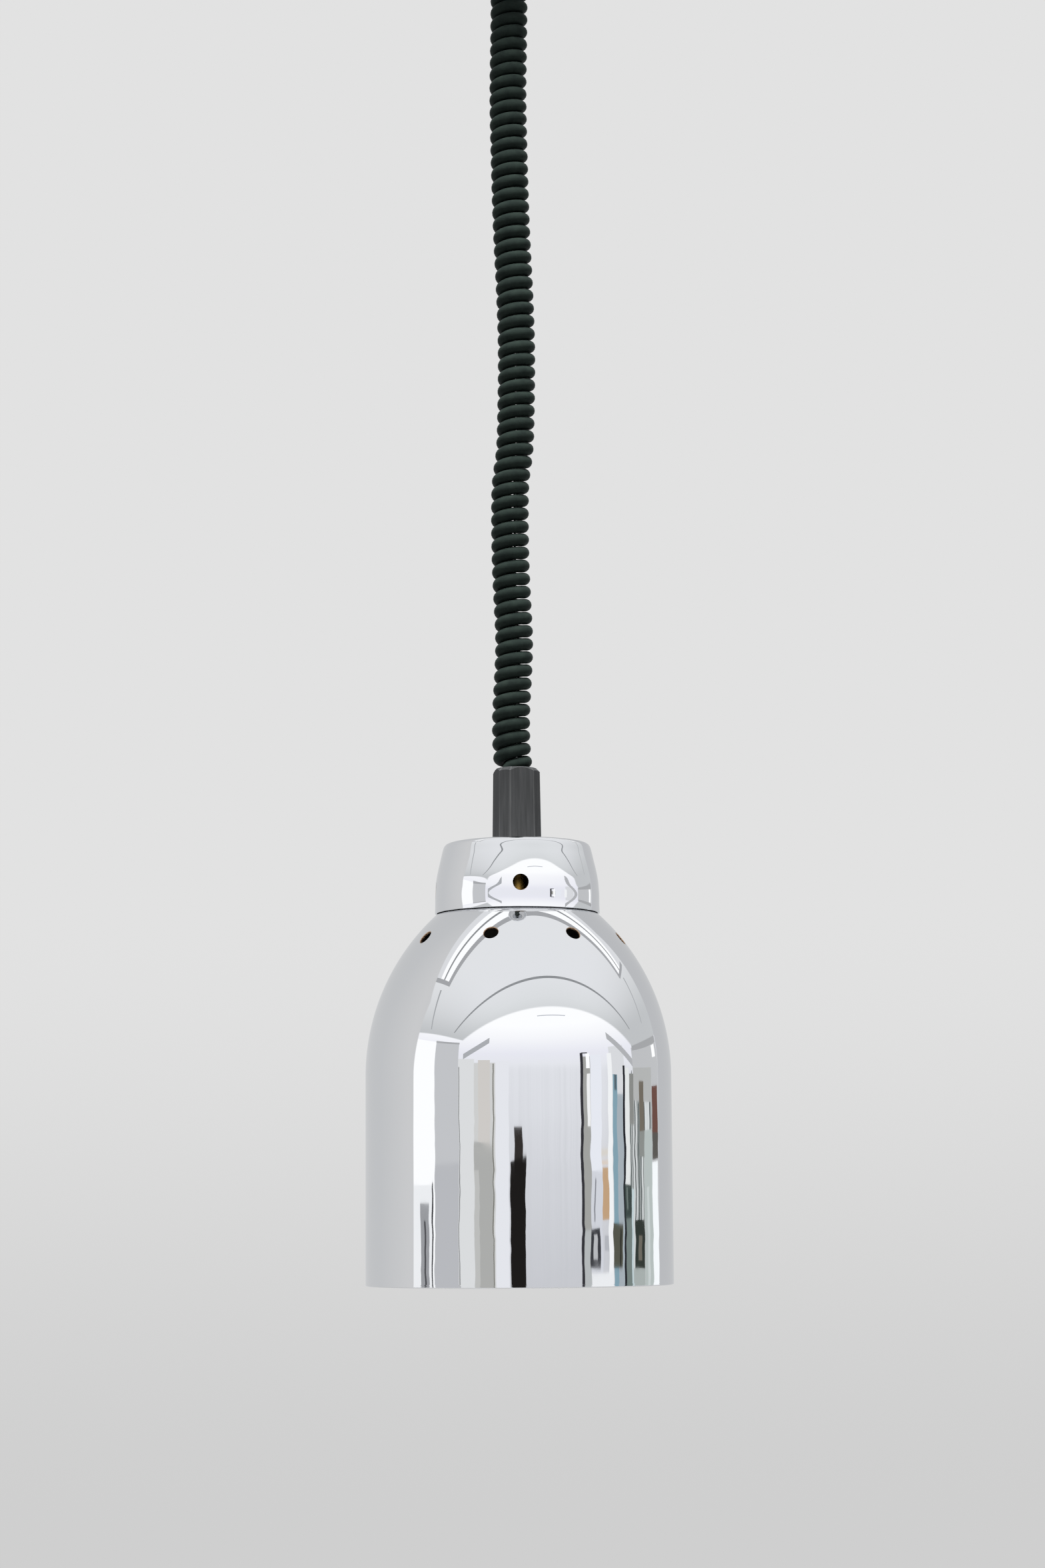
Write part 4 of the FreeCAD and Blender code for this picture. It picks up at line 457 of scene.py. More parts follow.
def gripNylonPaintedLight():
    # The grip's black nylon, a lighter copy of the moulded black nylon whose grey base is painted sheen, with
    # painted reflections streaked down its length and painted highlights along the facet edges.
    finish, add, look, place = newFinish("gripBlackNylonPaintedSheenAndHighlights", "#5C5D5E", 0, 0.6, {"Specular IOR Level": 0.06})
    # noise stretched down the grip: pale and dark streaks in the base, painted reflections of the room
    streakSpace = add("VectorMath", {0: place, 1: (1, 1, 0.05)}, operation="MULTIPLY")
    streaks = add("TexNoise", {"Vector": streakSpace, "Scale": perMm(1.3), "Detail": 3})
    tone = add("ValToRGB", {0: streaks})
    setStops(tone, ((0.3, "#545556"), (0.5, "#5C5D5E"), (0.7, "#656667")))
    x, y = add("SeparateXYZ", {0: place}).outputs[:2]
    bearing = add("Math", {0: y, 1: x}, operation="ARCTAN2")
    turned = add("Math", {0: bearing, 1: 180 / math.pi, 2: 720 - gripFacets["turn"]},
                 operation="MULTIPLY_ADD")
    quarter = add("Math", {0: turned, 1: 90.0}, operation="MODULO")
    nearest = None
    for corner in (0.0, gripFacets["wide"], 90.0):
        edge = add("Math", {0: quarter, 1: corner}, operation="SUBTRACT")
        edge = add("Math", {0: edge}, operation="ABSOLUTE")
        if nearest:
            edge = add("Math", {0: nearest, 1: edge}, operation="MINIMUM")
        nearest = edge
    # a painted highlight along each facet edge, paler the nearer the edge
    pale = add("MapRange", {0: nearest, 1: gripFacets["edgeHighlightStart"], 2: gripFacets["edgeHighlightFull"], 4: 0.45},
               interpolation_type="SMOOTHSTEP")
    edgeHighlightShare = add("Math", {0: pale, 1: streaks}, operation="MULTIPLY")
    add("Mix", {0: edgeHighlightShare, 6: tone, 7: "#9B9C9C"}, look["Base Color"], data_type="RGBA")
    mouldGrain(add, look, place, 0.45, 0.35, 0.05)
    return finish


def ropeSteel():
    # Galvanised wire rope: grey zinc worn bright on the crowns of the wires.
    return cloudedFinish("galvanisedRope", "#9A9C9C", 1, 0.38, 1.4, ("#858888", "#B2B4B3"), gloss=(0.3, 0.5))


def zincSteel():
    # Bright zinc on pressed steel: cool grey with a faint spangle of crystals and a satin sheen.
    finish, add, look, place = newFinish("brightZincSteel", "#B6BBC1", 1, 0.34)
    spangle = add("TexVoronoi", {"Vector": place, "Scale": perMm(2.6)}).outputs
    tone = add("ValToRGB", {0: spangle["Color"]}, look["Base Color"])
    setStops(tone, ((0.2, "#AAB0B7"), (0.8, "#C2C6CA")))
    add("MapRange", {0: spangle["Distance"], 1: 0.3, 2: 0.7, 3: 0.28, 4: 0.42}, look["Roughness"])
    return finish


def springSteel():
    # Tempered spring strip: dark blue from the furnace, drifting to straw.
    return cloudedFinish("bluedSpringSteel", "#3B4559", 1, 0.3, 7, ("#323C55", "#54504A"), gloss=(0.24, 0.38))


def naturalNylon():
    # Natural nylon: milky off-white, waxy, with faint flow marks from the mould.
    return cloudedFinish("naturalNylon", "#DAD6CA", 0, 0.44, 12, ("#D3CEC0", "#E1DED4"), gloss=(0.38, 0.5),
                         more={"Subsurface Weight": 0.15, "Subsurface Radius": (0.002, 0.0018, 0.0014)})


def terminalPlastic():
    # Moulded terminal strip: matt warm white with a fine eroded grain.
    return cloudedFinish("terminalPolyamide", "#D2CDC0", 0, 0.55, 8, ("#CBC6B8", "#DAD6CB"),
                         grain=(0.5, 0.3, 0.05))


def turnedBrass():
    # Turned brass: warm yellow metal with fine tool rings and a little tarnish.
    finish, add, look, place = newFinish("turnedBrass", "#C8A04F", 1, 0.27)
    mottle(add, look, place, 6, ("#B58C40", "#D2AF62"), gloss=(0.2, 0.38))
    rings = add("TexWave", {"Vector": place, "Scale": perMm(0.9) / 20, "Distortion": 0.4},
                bands_direction="Z").outputs[1]
    add("Bump", {"Height": rings, "Strength": 0.2, "Distance": 0.03 / 1000}, look["Normal"])
    return finish


def crimpedAluminium():
    # Soft aluminium, squeezed in a press: dull and lightly dented.
    return cloudedFinish("crimpedAluminium", "#C3C4C6", 1, 0.4, 1.8, ("#B4B5B8", "#CED0D1"),
                         relief=(0.4, 0.12))


def braidedSleeve():
    # Glass-fibre sleeving over the leads: a pale tan braid.
    finish, add, look, place = newFinish("braidedSleeve", "#B3A389", 0, 0.75)
    braid = add("TexChecker",
                {"Vector": place, "Scale": perMm(0.7) / 2, "Color1": "#BDAE95", "Color2": "#9F8F76"},
                look["Base Color"]).outputs[1]
    add("Bump", {"Height": braid, "Strength": 0.4, "Distance": 0.08 / 1000}, look["Normal"])
    return finish


def glazedPorcelain():
    # Glazed porcelain: warm white under clear glass, with a few kiln specks.
    finish, add, look, place = newFinish("glazedPorcelain", "#E7E4DB", 0, 0.13)
    specks = add("TexNoise", {"Vector": place, "Scale": perMm(2.2), "Detail": 2})
    tone = add("ValToRGB", {0: specks}, look["Base Color"])
    setStops(tone, ((0.0, "#E7E4DB"), (0.72, "#E7E4DB"), (0.8, "#CFC8B8")))
    return finish


def rubyGlass():
    # Ruby lacquer baked on blown glass: deep clear red, glossy, slightly uneven in strength.
    return cloudedFinish("rubyGlass", "#A3100D", 0, 0.06, 22, ("#960C0A", "#B01612"),
                         more={"Transmission Weight": 0.55, "IOR": 1.5})


def silveredGlass():
    # Aluminium film behind blown glass: a soft mirror with a glassy skin.
    finish, add, look, place = newFinish("silveredGlass", "#D2D3D6", 1, 0.16,
                                         {"Coat Weight": 0.6, "Coat Roughness": 0.03})
    film = add("TexNoise", {"Vector": place, "Scale": perMm(11), "Detail": 3})
    add("MapRange", {0: film, 1: 0.3, 2: 0.7, 3: 0.11, 4: 0.24}, look["Roughness"])
    return finish


def clearGlass():
    # Pressed glass stem: clear, with a few cords in it.
    return cloudedFinish("clearGlass", "#EFF3F1", 0, 0.04, 5, ("#E6ECE9", "#F6F8F7"), relief=(0.15, 0.1),
                         more={"Transmission Weight": 0.9, "IOR": 1.52})


def blackVitrite():
    # Cast black glass in the lamp base: glossy with small pits.
    return cloudedFinish("blackVitrite", "#19181B", 0, 0.18, 1.5, ("#141316", "#232226"), relief=(0.3, 0.08))


def softSolder():
    # A blob of solder: dull silver, frosted where it set.
    return cloudedFinish("softSolder", "#A8AAAE", 1, 0.42, 1.1, ("#97999E", "#BCBDC0"), gloss=(0.32, 0.55))


def tungstenWire():
    # Coiled tungsten: dark grey with the fine pitch of its coil.
    finish, add, look, place = newFinish("tungstenWire", "#5B5C60", 1, 0.45)
    coil = add("TexWave", {"Vector": place, "Scale": perMm(0.4) / 20}, bands_direction="X")
    add("Bump", {"Height": coil.outputs[1], "Strength": 0.6, "Distance": 0.1 / 1000}, look["Normal"])
    mottle(add, look, place, 2, ("#4E4F53", "#6C6D71"))
    return finish


# each finish, and the CAD nodes that wear it
finishUses = {
    "chrome": (polishedChrome, "cup_screws"),
    "inside": (insideWithPaintedShade,),
    "flex": (flexRubber,),
    "nylon": (mouldedNylon, "gland_nut"),
    "grip": (gripNylonPaintedLight, "grip"),
    "rope": (ropeSteel,),
    "zinc": (zincSteel, "ceiling_plate", "reel_frame", "frame_rivets", "reel_axle", "axle_clips",
             "cover_screws", "hanger_nut", "lock_washer", "shade_bridge", "shade_screws", "shade_nuts",
             "hood_screws"),
    "spring": (springSteel, "balance_spring"),
    "reel": (naturalNylon, "reel_drum", "spring_cover", "rope_guide"),
    "terminal": (terminalPlastic, "terminal_block"),
    "brass": (turnedBrass, "terminal_screws", "grip_bush", "hanger_nipple", "holder_hood", "holder_shell",
              "centre_contact", "holder_posts", "bulb_base"),
    "ferrule": (crimpedAluminium, "rope_ferrule"),
    "sleeve": (braidedSleeve,),
    "porcelain": (glazedPorcelain, "lampholder"),
    "ruby": (rubyGlass,),
    "silvered": (silveredGlass,),
    "stem": (clearGlass, "bulb_stem"),
    "vitrite": (blackVitrite, "bulb_insulator"),
    "solder": (softSolder, "bulb_tip"),
    "tungsten": (tungstenWire, "filament"),
    "cutEdge": (cutEdge,),
}
setFinishes = {}
for finishName, (mixFinish, *nodeNames) in finishUses.items():
    setFinishes[finishName] = mixFinish()
    for nodeName in nodeNames:
        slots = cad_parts[nodeName].data.materials
        slots.clear()
        slots.append(setFinishes[finishName])
print("finishes are mixed")


def routeLine(name, points, resolution):
    # points along the smooth line that a NURBS spline draws through a route
    curve = bpy.data.curves.new(name, "CURVE")
    curve.dimensions = "3D"
    curve.resolution_u = resolution
    spline = curve.splines.new("NURBS")
    spline.points.add(len(points) - 1)
    for slotPoint, spot in zip(spline.points, points):
        slotPoint.co = (*spot, 1)
    spline.order_u = 3
    spline.use_endpoint_u = True
    holder = bpy.data.objects.new(name, curve)
    scene.collection.objects.link(holder)
    bpy.context.view_layer.update()
    mesh = bpy.data.meshes.new_from_object(holder)
    line = [v.co.copy() for v in mesh.vertices]
    bpy.data.meshes.remove(mesh)
    bpy.data.objects.remove(holder)
    bpy.data.curves.remove(curve)
    return line


def tubeAlong(name, line, radiusAt, sides, finish):
    # rings square to the line, each turned as little as possible from the one before
    rings = len(line)
    spots = []
    heading = (line[1] - line[0]).normalized()
    side = heading.orthogonal().normalized()
    for i, centre in enumerate(line):
        onward = (line[min(i + 1, rings - 1)] - line[max(i - 1, 0)]).normalized()
        side = (heading.rotation_difference(onward) @ side).normalized()
        heading = onward
        across = heading.cross(side)
        for k in range(sides):
            turn = 2 * math.pi * k / sides
            reach = radiusAt(i, turn)
            spots.append(centre + side * (reach * math.cos(turn)) + across * (reach * math.sin(turn)))
    faces = []
    for i in range(rings - 1):
        for k in range(sides):
            n = (k + 1) % sides
            faces.append((i * sides + k, i * sides + n, (i + 1) * sides + n, (i + 1) * sides + k))
    faces.append(tuple(reversed(range(sides))))
    faces.append(tuple((rings - 1) * sides + k for k in range(sides)))
    mesh = bpy.data.meshes.new(name)
    mesh.from_pydata(spots, [], faces)
    mesh.update()
    mesh.polygons.foreach_set("use_smooth", [True] * len(mesh.polygons))
    mesh.materials.append(setFinishes[finish])
    tube = bpy.data.objects.new(name, mesh)
    scene.collection.objects.link(tube)
    return tube


def stretchEvenly(tube, line, sides, high, low):
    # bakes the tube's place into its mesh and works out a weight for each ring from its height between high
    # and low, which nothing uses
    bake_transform(tube)
    weights = []
    for centre in line:
        weights += [min(max((high - centre.z) / (high - low), 0), 1)] * sides


def standFor(piece, node, body):
    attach(piece, body)
    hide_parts(node)


# The flex ends in a socket in the gland and one in the grip.
cordSockets = {
    "glandSpot": (0.004276, -0.00505), "glandFloor": -0.0872, "glandEnd": -0.098,
    "gripSpot": (-0.0058, -0.00445), "gripFloor": -0.5958, "gripTop": -0.585,
}
curlyFlex = {
    "axis": (   # sway and height above the grip
        (-0.0017, 0.0020, 0.0016), (-0.0026, 0.0014, 0.009), (-0.0030, 0.0004, 0.020),
        (-0.0029, -0.0004, 0.034), (-0.0015, -0.0002, 0.055), (-0.0006, 0.0003, 0.076),
        (-0.0017, 0.0005, 0.098), (-0.0027, 0.0002, 0.122), (-0.0029, -0.0003, 0.150),
        (-0.0025, -0.0005, 0.171), (0.0004, -0.0002, 0.188), (0.0011, 0.0004, 0.210), (0.0019, 0.0006, 0.248),
        (0.0009, 0.0001, 0.285), (-0.0010, -0.0004, 0.325), (-0.0019, -0.0003, 0.366),
        (-0.0026, 0.0003, 0.405), (-0.0018, 0.0006, 0.440), (-0.0013, 0.0009, 0.468),
        (-0.0016, 0.0018, 0.477), (-0.0020, 0.0024, 0.4835)),
    "turns": 62,
    "perTurn": 16,
    "coilRadius": 0.0075,
    "diameter": 0.0073,
    "nipped": 0.0069,       # in the sockets, over so many rings
    "nipRings": 24,
    "footTilt": 0.14,       # the lowest turns sit askew on the grip
    "footHeight": 0.028,
    # how the tails run into the grip and the gland, from their ends in the sockets
    "footTail": ((0, 0, 0), (0, 0, 0.005), (0.0001, -0.0003, 0.009), (0.002, -0.001, 0.0117)),
    "headTail": ((-0.0022, -0.0001, -0.0134), (0, -0.0001, -0.0105), (0, 0, -0.0055), (0, 0, 0)),
    "sides": 20,
}


def makeCurlyFlex():
    flex = curlyFlex
    base, glandEnd = cordSockets["gripTop"], cordSockets["glandEnd"]
    axis = routeLine("flexAxis", [(x, y, base + up) for x, y, up in flex["axis"]], 24)
    across, depth, levels = [[p[i] for p in axis] for i in range(3)]
    low, high = levels[0], levels[-1]
    steps = flex["turns"] * flex["perTurn"]
    reach = flex["coilRadius"] / math.cos(math.pi / flex["perTurn"])   # the spline cuts inside its points
    coil = []
    for i in range(steps + 1):
        turn = 2 * math.pi * i / flex["perTurn"] - math.pi / 2
        level = low + (high - low) * i / steps
        tilt = flex["footTilt"] * max(1 - (level - low) / flex["footHeight"], 0)
        sideways = reach * math.cos(turn)
        coil.append((np.interp(level, levels, across) + sideways,
                     np.interp(level, levels, depth) + reach * math.sin(turn), level + tilt * sideways))
    tails = []
    for end, tail in (("grip", flex["footTail"]), ("gland", flex["headTail"])):
        x, y, z = *cordSockets[end + "Spot"], cordSockets[end + "Floor"]
        tails.append([(x + dx, y + dy, z + dz) for dx, dy, dz in tail])
    line = routeLine("flexLine", tails[0] + coil + tails[1], 2)
    line.reverse()

    def reachAt(i, turn):
        free = min(min(i, len(line) - 1 - i) / flex["nipRings"], 1)
        return (flex["nipped"] + (flex["diameter"] - flex["nipped"]) * free) / 2

    tube = tubeAlong("curlyFlex", line, reachAt, flex["sides"], "flex")
    stretchEvenly(tube, line, flex["sides"], glandEnd, base)
    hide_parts("curly_cord")


steelRope = {
    "diameter": 0.0015, "strands": 6, "valley": 0.86, "lay": 0.011,
    "high": -0.0345, "low": -0.60887, "sides": 24,
    "drum": (-0.020, -0.033), "winding": 0.0200, "pitch": 0.0020, "halfTurns": 15, "perTurn": 16,
}


def ropeLobes(spacing):
    # strands laid round each other, with valleys between them
    rope = steelRope

    def reachAt(i, turn):
        lobe = abs(math.cos(rope["strands"] / 2 * (turn - 2 * math.pi * i * spacing / rope["lay"])))
        return rope["diameter"] / 2 * (rope["valley"] + (1 - rope["valley"]) * lobe)

    return reachAt


def makeRope():
    rope = steelRope
    high, low = rope["high"], rope["low"]
    hang = routeLine("ropeRoute", [(0, 0, high + (low - high) * share) for share in (0, 0.3, 0.7, 1)], 240)
    tube = tubeAlong("supportRope", hang, ropeLobes((hang[1] - hang[0]).length), rope["sides"], "rope")
    stretchEvenly(tube, hang, rope["sides"], high, low)
    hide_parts("support_rope")

    # the turns on the drum start where the hanging rope ends
    middle, level = rope["drum"]
    reach = rope["winding"] / math.cos(math.pi / rope["perTurn"])
    wound = [(0, 0, high)]
    steps = rope["halfTurns"] * rope["perTurn"] // 2
    for i in range(steps + 1):
        turn = -2 * math.pi * i / rope["perTurn"]
        wound.append((middle + reach * math.cos(turn), -rope["pitch"] * i / rope["perTurn"],
                      level - reach * math.sin(turn)))
    line = routeLine("windingRoute", wound, 6)
    spacing = (line[40] - line[39]).length      # well inside the turns
    turns = tubeAlong("ropeTurns", line, ropeLobes(spacing), rope["sides"] // 2, "rope")
    standFor(turns, "rope_winding", "reel")
    print("support rope and its turns on the reel are laid")


sleevedLeads = {
    "radius": 0.0008, "sides": 12, "spacing": 0.00166,
    "ways": 0.010, "wayLevel": -0.0095,
    "posts": 0.011, "postLevel": -0.6486,
}


def makeLeads():
    lead = sleevedLeads
    way, post = lead["wayLevel"], lead["postLevel"]
    for row in (-1, 0, 1):
        x, y = cordSockets["glandSpot"]
        y, side = y + row * lead["spacing"], row * lead["ways"]
        up = [(x, y, cordSockets["glandFloor"]), (x, y, -0.055), (x, y, -0.020), (x, y, -0.0125),
              (x + 0.0006, y, -0.0097), (0.0168, side, way), (0.0230, side, way), (0.0293, side, way)]
        x, side, far = -x, row * lead["spacing"], row * lead["posts"]
        down = [(x, y, cordSockets["gripFloor"]), (x, y, -0.6030), (x, y, steelRope["low"]),
                (0, side, -0.61654)]
        if row:
            down += [(0, side, -0.632), (0, side, -0.6460), (0, side, post), (0, row * 0.006, post),
                     (0, far, post), (0, far, -0.6512)]
        down.append((0, far, -0.6548))
        for name, node, body, route in (("ceilingLead", "ceiling_leads", "ceiling_rose", up),
                                        ("lampLead", "lamp_leads", "lamp_head", down)):
            wire = tubeAlong(f"{name}{row + 2}", routeLine(name, route, 10), lambda i, turn: lead["radius"],
                             lead["sides"], "sleeve")
            standFor(wire, node, body)
    print("leads are run")


def roundOff(corners):
    # outline through (radius, level, rounding), its soft corners drawn as short arcs
    points = []
    for i, (reach, level, soft) in enumerate(corners):
        here = Vector((reach, level))
        if not soft:
            points.append(here)
            continue
        back = (Vector(corners[i - 1][:2]) - here).normalized()
        onward = (Vector(corners[(i + 1) % len(corners)][:2]) - here).normalized()
        half = back.angle(onward) / 2
        centre = here + (back + onward).normalized() * (soft / math.sin(half))
        spoke = here + back * (soft / math.tan(half)) - centre
        final = here + onward * (soft / math.tan(half)) - centre
        sweep = (math.pi - 2 * half) * (1 if spoke.cross(final) > 0 else -1)
        steps = max(4, math.ceil(abs(sweep) / math.radians(4)))
        points += [centre + Matrix.Rotation(sweep * k / steps, 2) @ spoke for k in range(steps + 1)]
    return points


def arcRun(centre, radius, first, last, steps):
    turns = [math.radians(first + (last - first) * k / steps) for k in range(steps + 1)]
    return [Vector((centre[0] + radius * math.cos(t), centre[1] + radius * math.sin(t))) for t in turns]


def spinOutline(name, outline, steps, finish, closed=True):
    # draws the outline one vertex at a time, then spins it round the axis
    bpy.ops.object.select_all(action="DESELECT")
    bpy.ops.mesh.primitive_plane_add(size=0.001)
    piece = bpy.context.object
    piece.name = piece.data.name = name
    bpy.ops.object.mode_set(mode="EDIT")
    bpy.ops.mesh.merge(type="CENTER")
    bpy.ops.transform.translate(value=(outline[0].x, 0, outline[0].y))
    pen = outline[0]
    for spot in outline[1:] + (outline[:1] if closed else []):
        step = spot - pen
        bpy.ops.mesh.extrude_vertices_move(TRANSFORM_OT_translate={"value": (step.x, 0, step.y)})
        pen = spot
    bpy.ops.mesh.select_all(action="SELECT")
    bpy.ops.mesh.spin(steps=steps, angle=2 * math.pi, center=(0, 0, 0), axis=(0, 0, 1))
    bpy.ops.mesh.select_all(action="SELECT")
    bpy.ops.mesh.remove_doubles(threshold=2e-6)
    bpy.ops.mesh.normals_make_consistent(inside=False)
    bpy.ops.object.mode_set(mode="OBJECT")
    bpy.ops.object.shade_smooth()
    piece.data.materials.append(setFinishes[finish])
    return piece


def cutHoles(piece, outline, places, edge="cutEdge"):
    # one drill, copied to each place, taken out of the piece, which shows its core metal there
    drills = []
    for number, place in enumerate(places):
        if number == 0:
            drill = spinOutline("drill", outline, 48, edge)
        else:
            drill = drills[0].copy()
            drill.data = drills[0].data.copy()
            scene.collection.objects.link(drill)
        drill.matrix_world = place
        drills.append(drill)
    bpy.ops.object.select_all(action="DESELECT")
    for drill in drills:
        drill.select_set(True)
    bpy.context.view_layer.objects.active = drills[0]
    if len(drills) > 1:
        bpy.ops.object.join()
    bpy.ops.object.select_all(action="DESELECT")
    bpy.context.view_layer.objects.active = piece
    piece.select_set(True)
    holes = piece.modifiers.new("holes", "BOOLEAN")
    holes.object = drills[0]
    holes.solver = "EXACT"
    holes.material_mode = "TRANSFER"
    bpy.ops.object.modifier_apply(modifier="holes")
    bpy.data.objects.remove(drills[0])


polish = {
    "smooth": 28,        # degrees that two runs of an outline may differ and still shade as one
    "skin": 0.77,        # how far outwards a normal looks that may lean
    "agree": 0.85,       # below this the face keeps its own normal
    "sameSide": 1e-5,    # metres that a run on the wrong side of the wall counts as farther
    "batch": 20000,
}


def polishNormals(piece, outline, lean=None):
    # shading normals come from the drawn outline, so that holes don't dent the mirror
    mesh = piece.data
    start = np.array([tuple(p) for p in outline])
    run = np.roll(start, -1, axis=0) - start
    size = (run ** 2).sum(1)
    out = np.stack((run[:, 1], -run[:, 0]), axis=1) / np.sqrt(size)[:, None]
    smooth = math.cos(math.radians(polish["smooth"]))
    ends = []
    for shift in (1, -1):
        beside = np.roll(out, shift, axis=0)
        bent = np.where(((out * beside).sum(1) > smooth)[:, None], out + beside, out)
        ends.append(bent / np.linalg.norm(bent, axis=1)[:, None])
    first, last = ends

    count = len(mesh.loops)
    corner = np.empty(count, np.int32)
    mesh.loops.foreach_get("vertex_index", corner)
    spots = np.array([v.co for v in mesh.vertices])[corner]
    faces = mesh.polygons
    facing = np.repeat(np.array([f.normal for f in faces]), [f.loop_total for f in faces], axis=0)
    reach = np.hypot(spots[:, 0], spots[:, 1])
    away = spots[:, :2] / np.maximum(reach, 1e-9)[:, None]
    flat = np.stack((reach, spots[:, 2]), axis=1)
    tilt = np.stack(((facing[:, :2] * away).sum(1), facing[:, 2]), axis=1)
    shading = np.empty((count, 3))
    for begin in range(0, count, polish["batch"]):
        part = slice(begin, begin + polish["batch"])
        gap = flat[part, None] - start[None]
        share = np.clip((gap * run[None]).sum(2) / size[None], 0, 1)
        miss = np.linalg.norm(gap - share[..., None] * run[None], axis=2)
        pick = np.argmin(miss + polish["sameSide"] * (1 - tilt[part] @ out.T), axis=1)
        rows = np.arange(len(pick))
        mixed = first[pick] + (last[pick] - first[pick]) * share[rows, pick][:, None]
        mixed /= np.linalg.norm(mixed, axis=1)[:, None]
        shading[part] = np.column_stack((mixed[:, :1] * away[part], mixed[:, 1]))
    if lean:
        leaning = np.radians(np.interp(spots[:, 2], [p.z for p in lean], [p.x for p in lean]))
        skin = (shading[:, :2] * away).sum(1) > polish["skin"]
        shading[skin] = np.column_stack((away * np.cos(leaning)[:, None], np.sin(leaning)))[skin]
    agrees = (shading * facing).sum(1) > polish["agree"]
    shading[~agrees] = facing[~agrees]
    mesh.normals_split_custom_set(shading.tolist())


def looksAtAxis(face):
    x, y = face.center.xy
    return face.normal.x * x + face.normal.y * y < -0.1 * math.hypot(x, y)


def paintInside(piece, lip):
    # inner faces look at the axis or down, the lip at the bottom stays plated
    # the dark inside finish, which carries painted shade
    piece.data.materials.append(setFinishes["inside"])
    for face in piece.data.polygons:
        inward = looksAtAxis(face) or face.normal.z < -0.3
        if inward and face.center.z > lip and face.material_index == 0:
            face.material_index = len(piece.data.materials) - 1


def drillOutline(radius, flare=0.0001, inner=0.004, outer=0.002):
    # straight below the skin and opening out at it, so that the hole has a broken edge
    wide = radius + flare
    return [Vector(spot) for spot in ((0, -inner), (radius, -inner), (radius, -flare), (wide, 0),
                                      (wide + outer, outer), (0, outer))]


def roundAxis(place, count, first):
    turns = [math.radians(first + 360 * k / count) for k in range(count)]
    return [Matrix.Rotation(turn, 4, "Z") @ place for turn in turns]


domeShade = {
    "radius": 0.0875, "wall": 0.0012, "rim": -0.8808, "skirtTop": -0.76245, "shoulder": 0.125,
    "flangeEdge": 0.0435, "opening": 0.030, "spin": 160,
    "plain": (0.002, 0.003),      # the skirt is straight from above the rim to below the shoulder
    "vents": 8, "vent": 0.0041, "ventFlare": 0.00045, "ventRing": 0.0608, "firstVent": 256,
    "screws": (0.03855, -0.03855), "screwHole": 0.00215,
}


def makeDome():
    dome = domeShade
    wall, radius, rim, top = dome["wall"], dome["radius"], dome["rim"], dome["skirtTop"]
    shoulder, opening = dome["shoulder"], dome["opening"]
    middle = (radius - shoulder, top)
    inner = shoulder - wall
    outerEnd = math.degrees(math.acos((dome["flangeEdge"] - middle[0]) / shoulder))
    flange = top + shoulder * math.sin(math.radians(outerEnd))
    innerEnd = math.degrees(math.asin((flange - wall - top) / inner))
    outline = arcRun((radius - wall / 2, rim + wall / 2), wall / 2, 180, 360, 12)
    skirt = (rim + dome["plain"][0], top - dome["plain"][1])
    outline += [Vector((radius, level)) for level in skirt]
    outline += arcRun(middle, shoulder, 0, outerEnd, 48)
    outline += [Vector((opening, flange)), Vector((opening, flange - wall))]
    outline += arcRun(middle, inner, innerEnd, 0, 36)
    outline += [Vector((radius - wall, level)) for level in reversed(skirt)]
    shade = spinOutline("domeShade", outline, dome["spin"], "chrome")
    rise = math.acos((dome["ventRing"] - middle[0]) / shoulder)
    spot = Vector((dome["ventRing"], 0, top + shoulder * math.sin(rise)))
    tilt = Matrix.Translation(spot) @ Matrix.Rotation(math.pi / 2 - rise, 4, "Y")
    cutHoles(shade, drillOutline(dome["vent"], dome["ventFlare"], outer=0.003),
             roundAxis(tilt, dome["vents"], dome["firstVent"]))
    cutHoles(shade, drillOutline(dome["screwHole"]),
             [Matrix.Translation((x, 0, flange)) for x in dome["screws"]])
    paintInside(shade, rim + wall)
    polishNormals(shade, outline)
    standFor(shade, "dome_shade", "lamp_head")
    print("dome shade is spun")


capShell = {
    "radius": 0.0475, "wall": 0.0012, "rim": -0.6696, "hole": 0.0066, "spin": 160,
    # radius and height above the rim
    "outer": (
        (0.0475, 0.0014), (0.0474, 0.0045), (0.04735, 0.0070), (0.0474, 0.0095), (0.0473, 0.0120),
        (0.04715, 0.0145), (0.04698, 0.0170), (0.04662, 0.0200), (0.0462, 0.0225), (0.04568, 0.0250),
        (0.04512, 0.0275), (0.0445, 0.0300), (0.04395, 0.0325), (0.04336, 0.0350), (0.04286, 0.0370),
        (0.0423, 0.0387), (0.0414, 0.0399), (0.0400, 0.0405), (0.0380, 0.0406), (0.0330, 0.0406)),
    "inner": ((0.03300, 0.0394), (0.03800, 0.0394), (0.04030, 0.0385), (0.04130, 0.0368), (0.04450, 0.0250),
              (0.04590, 0.0175), (0.0463, 0.0120), (0.0463, 0.0014)),
    # degrees that the polish leans back at each height, read from the way the mirrored lines bend
    "lean": ((8.0, 0.0), (6.9, 0.0015), (5.4, 0.003), (2.6, 0.0052), (0.7, 0.008), (2.6, 0.0108),
             (5.2, 0.013), (5.9, 0.016), (6.6, 0.0175), (9.0, 0.019), (10.8, 0.0208), (12.5, 0.023),
             (13.9, 0.026), (14.6, 0.0272), (16.0, 0.030), (17.4, 0.0322), (16.9, 0.034), (16.1, 0.036),
             (18.4, 0.0375), (22.8, 0.0387), (40.0, 0.0395)),
    "vents": 4, "vent": 0.0045, "ventFlare": 0.00045, "ventRise": 0.0140, "firstVent": 272.6,
}


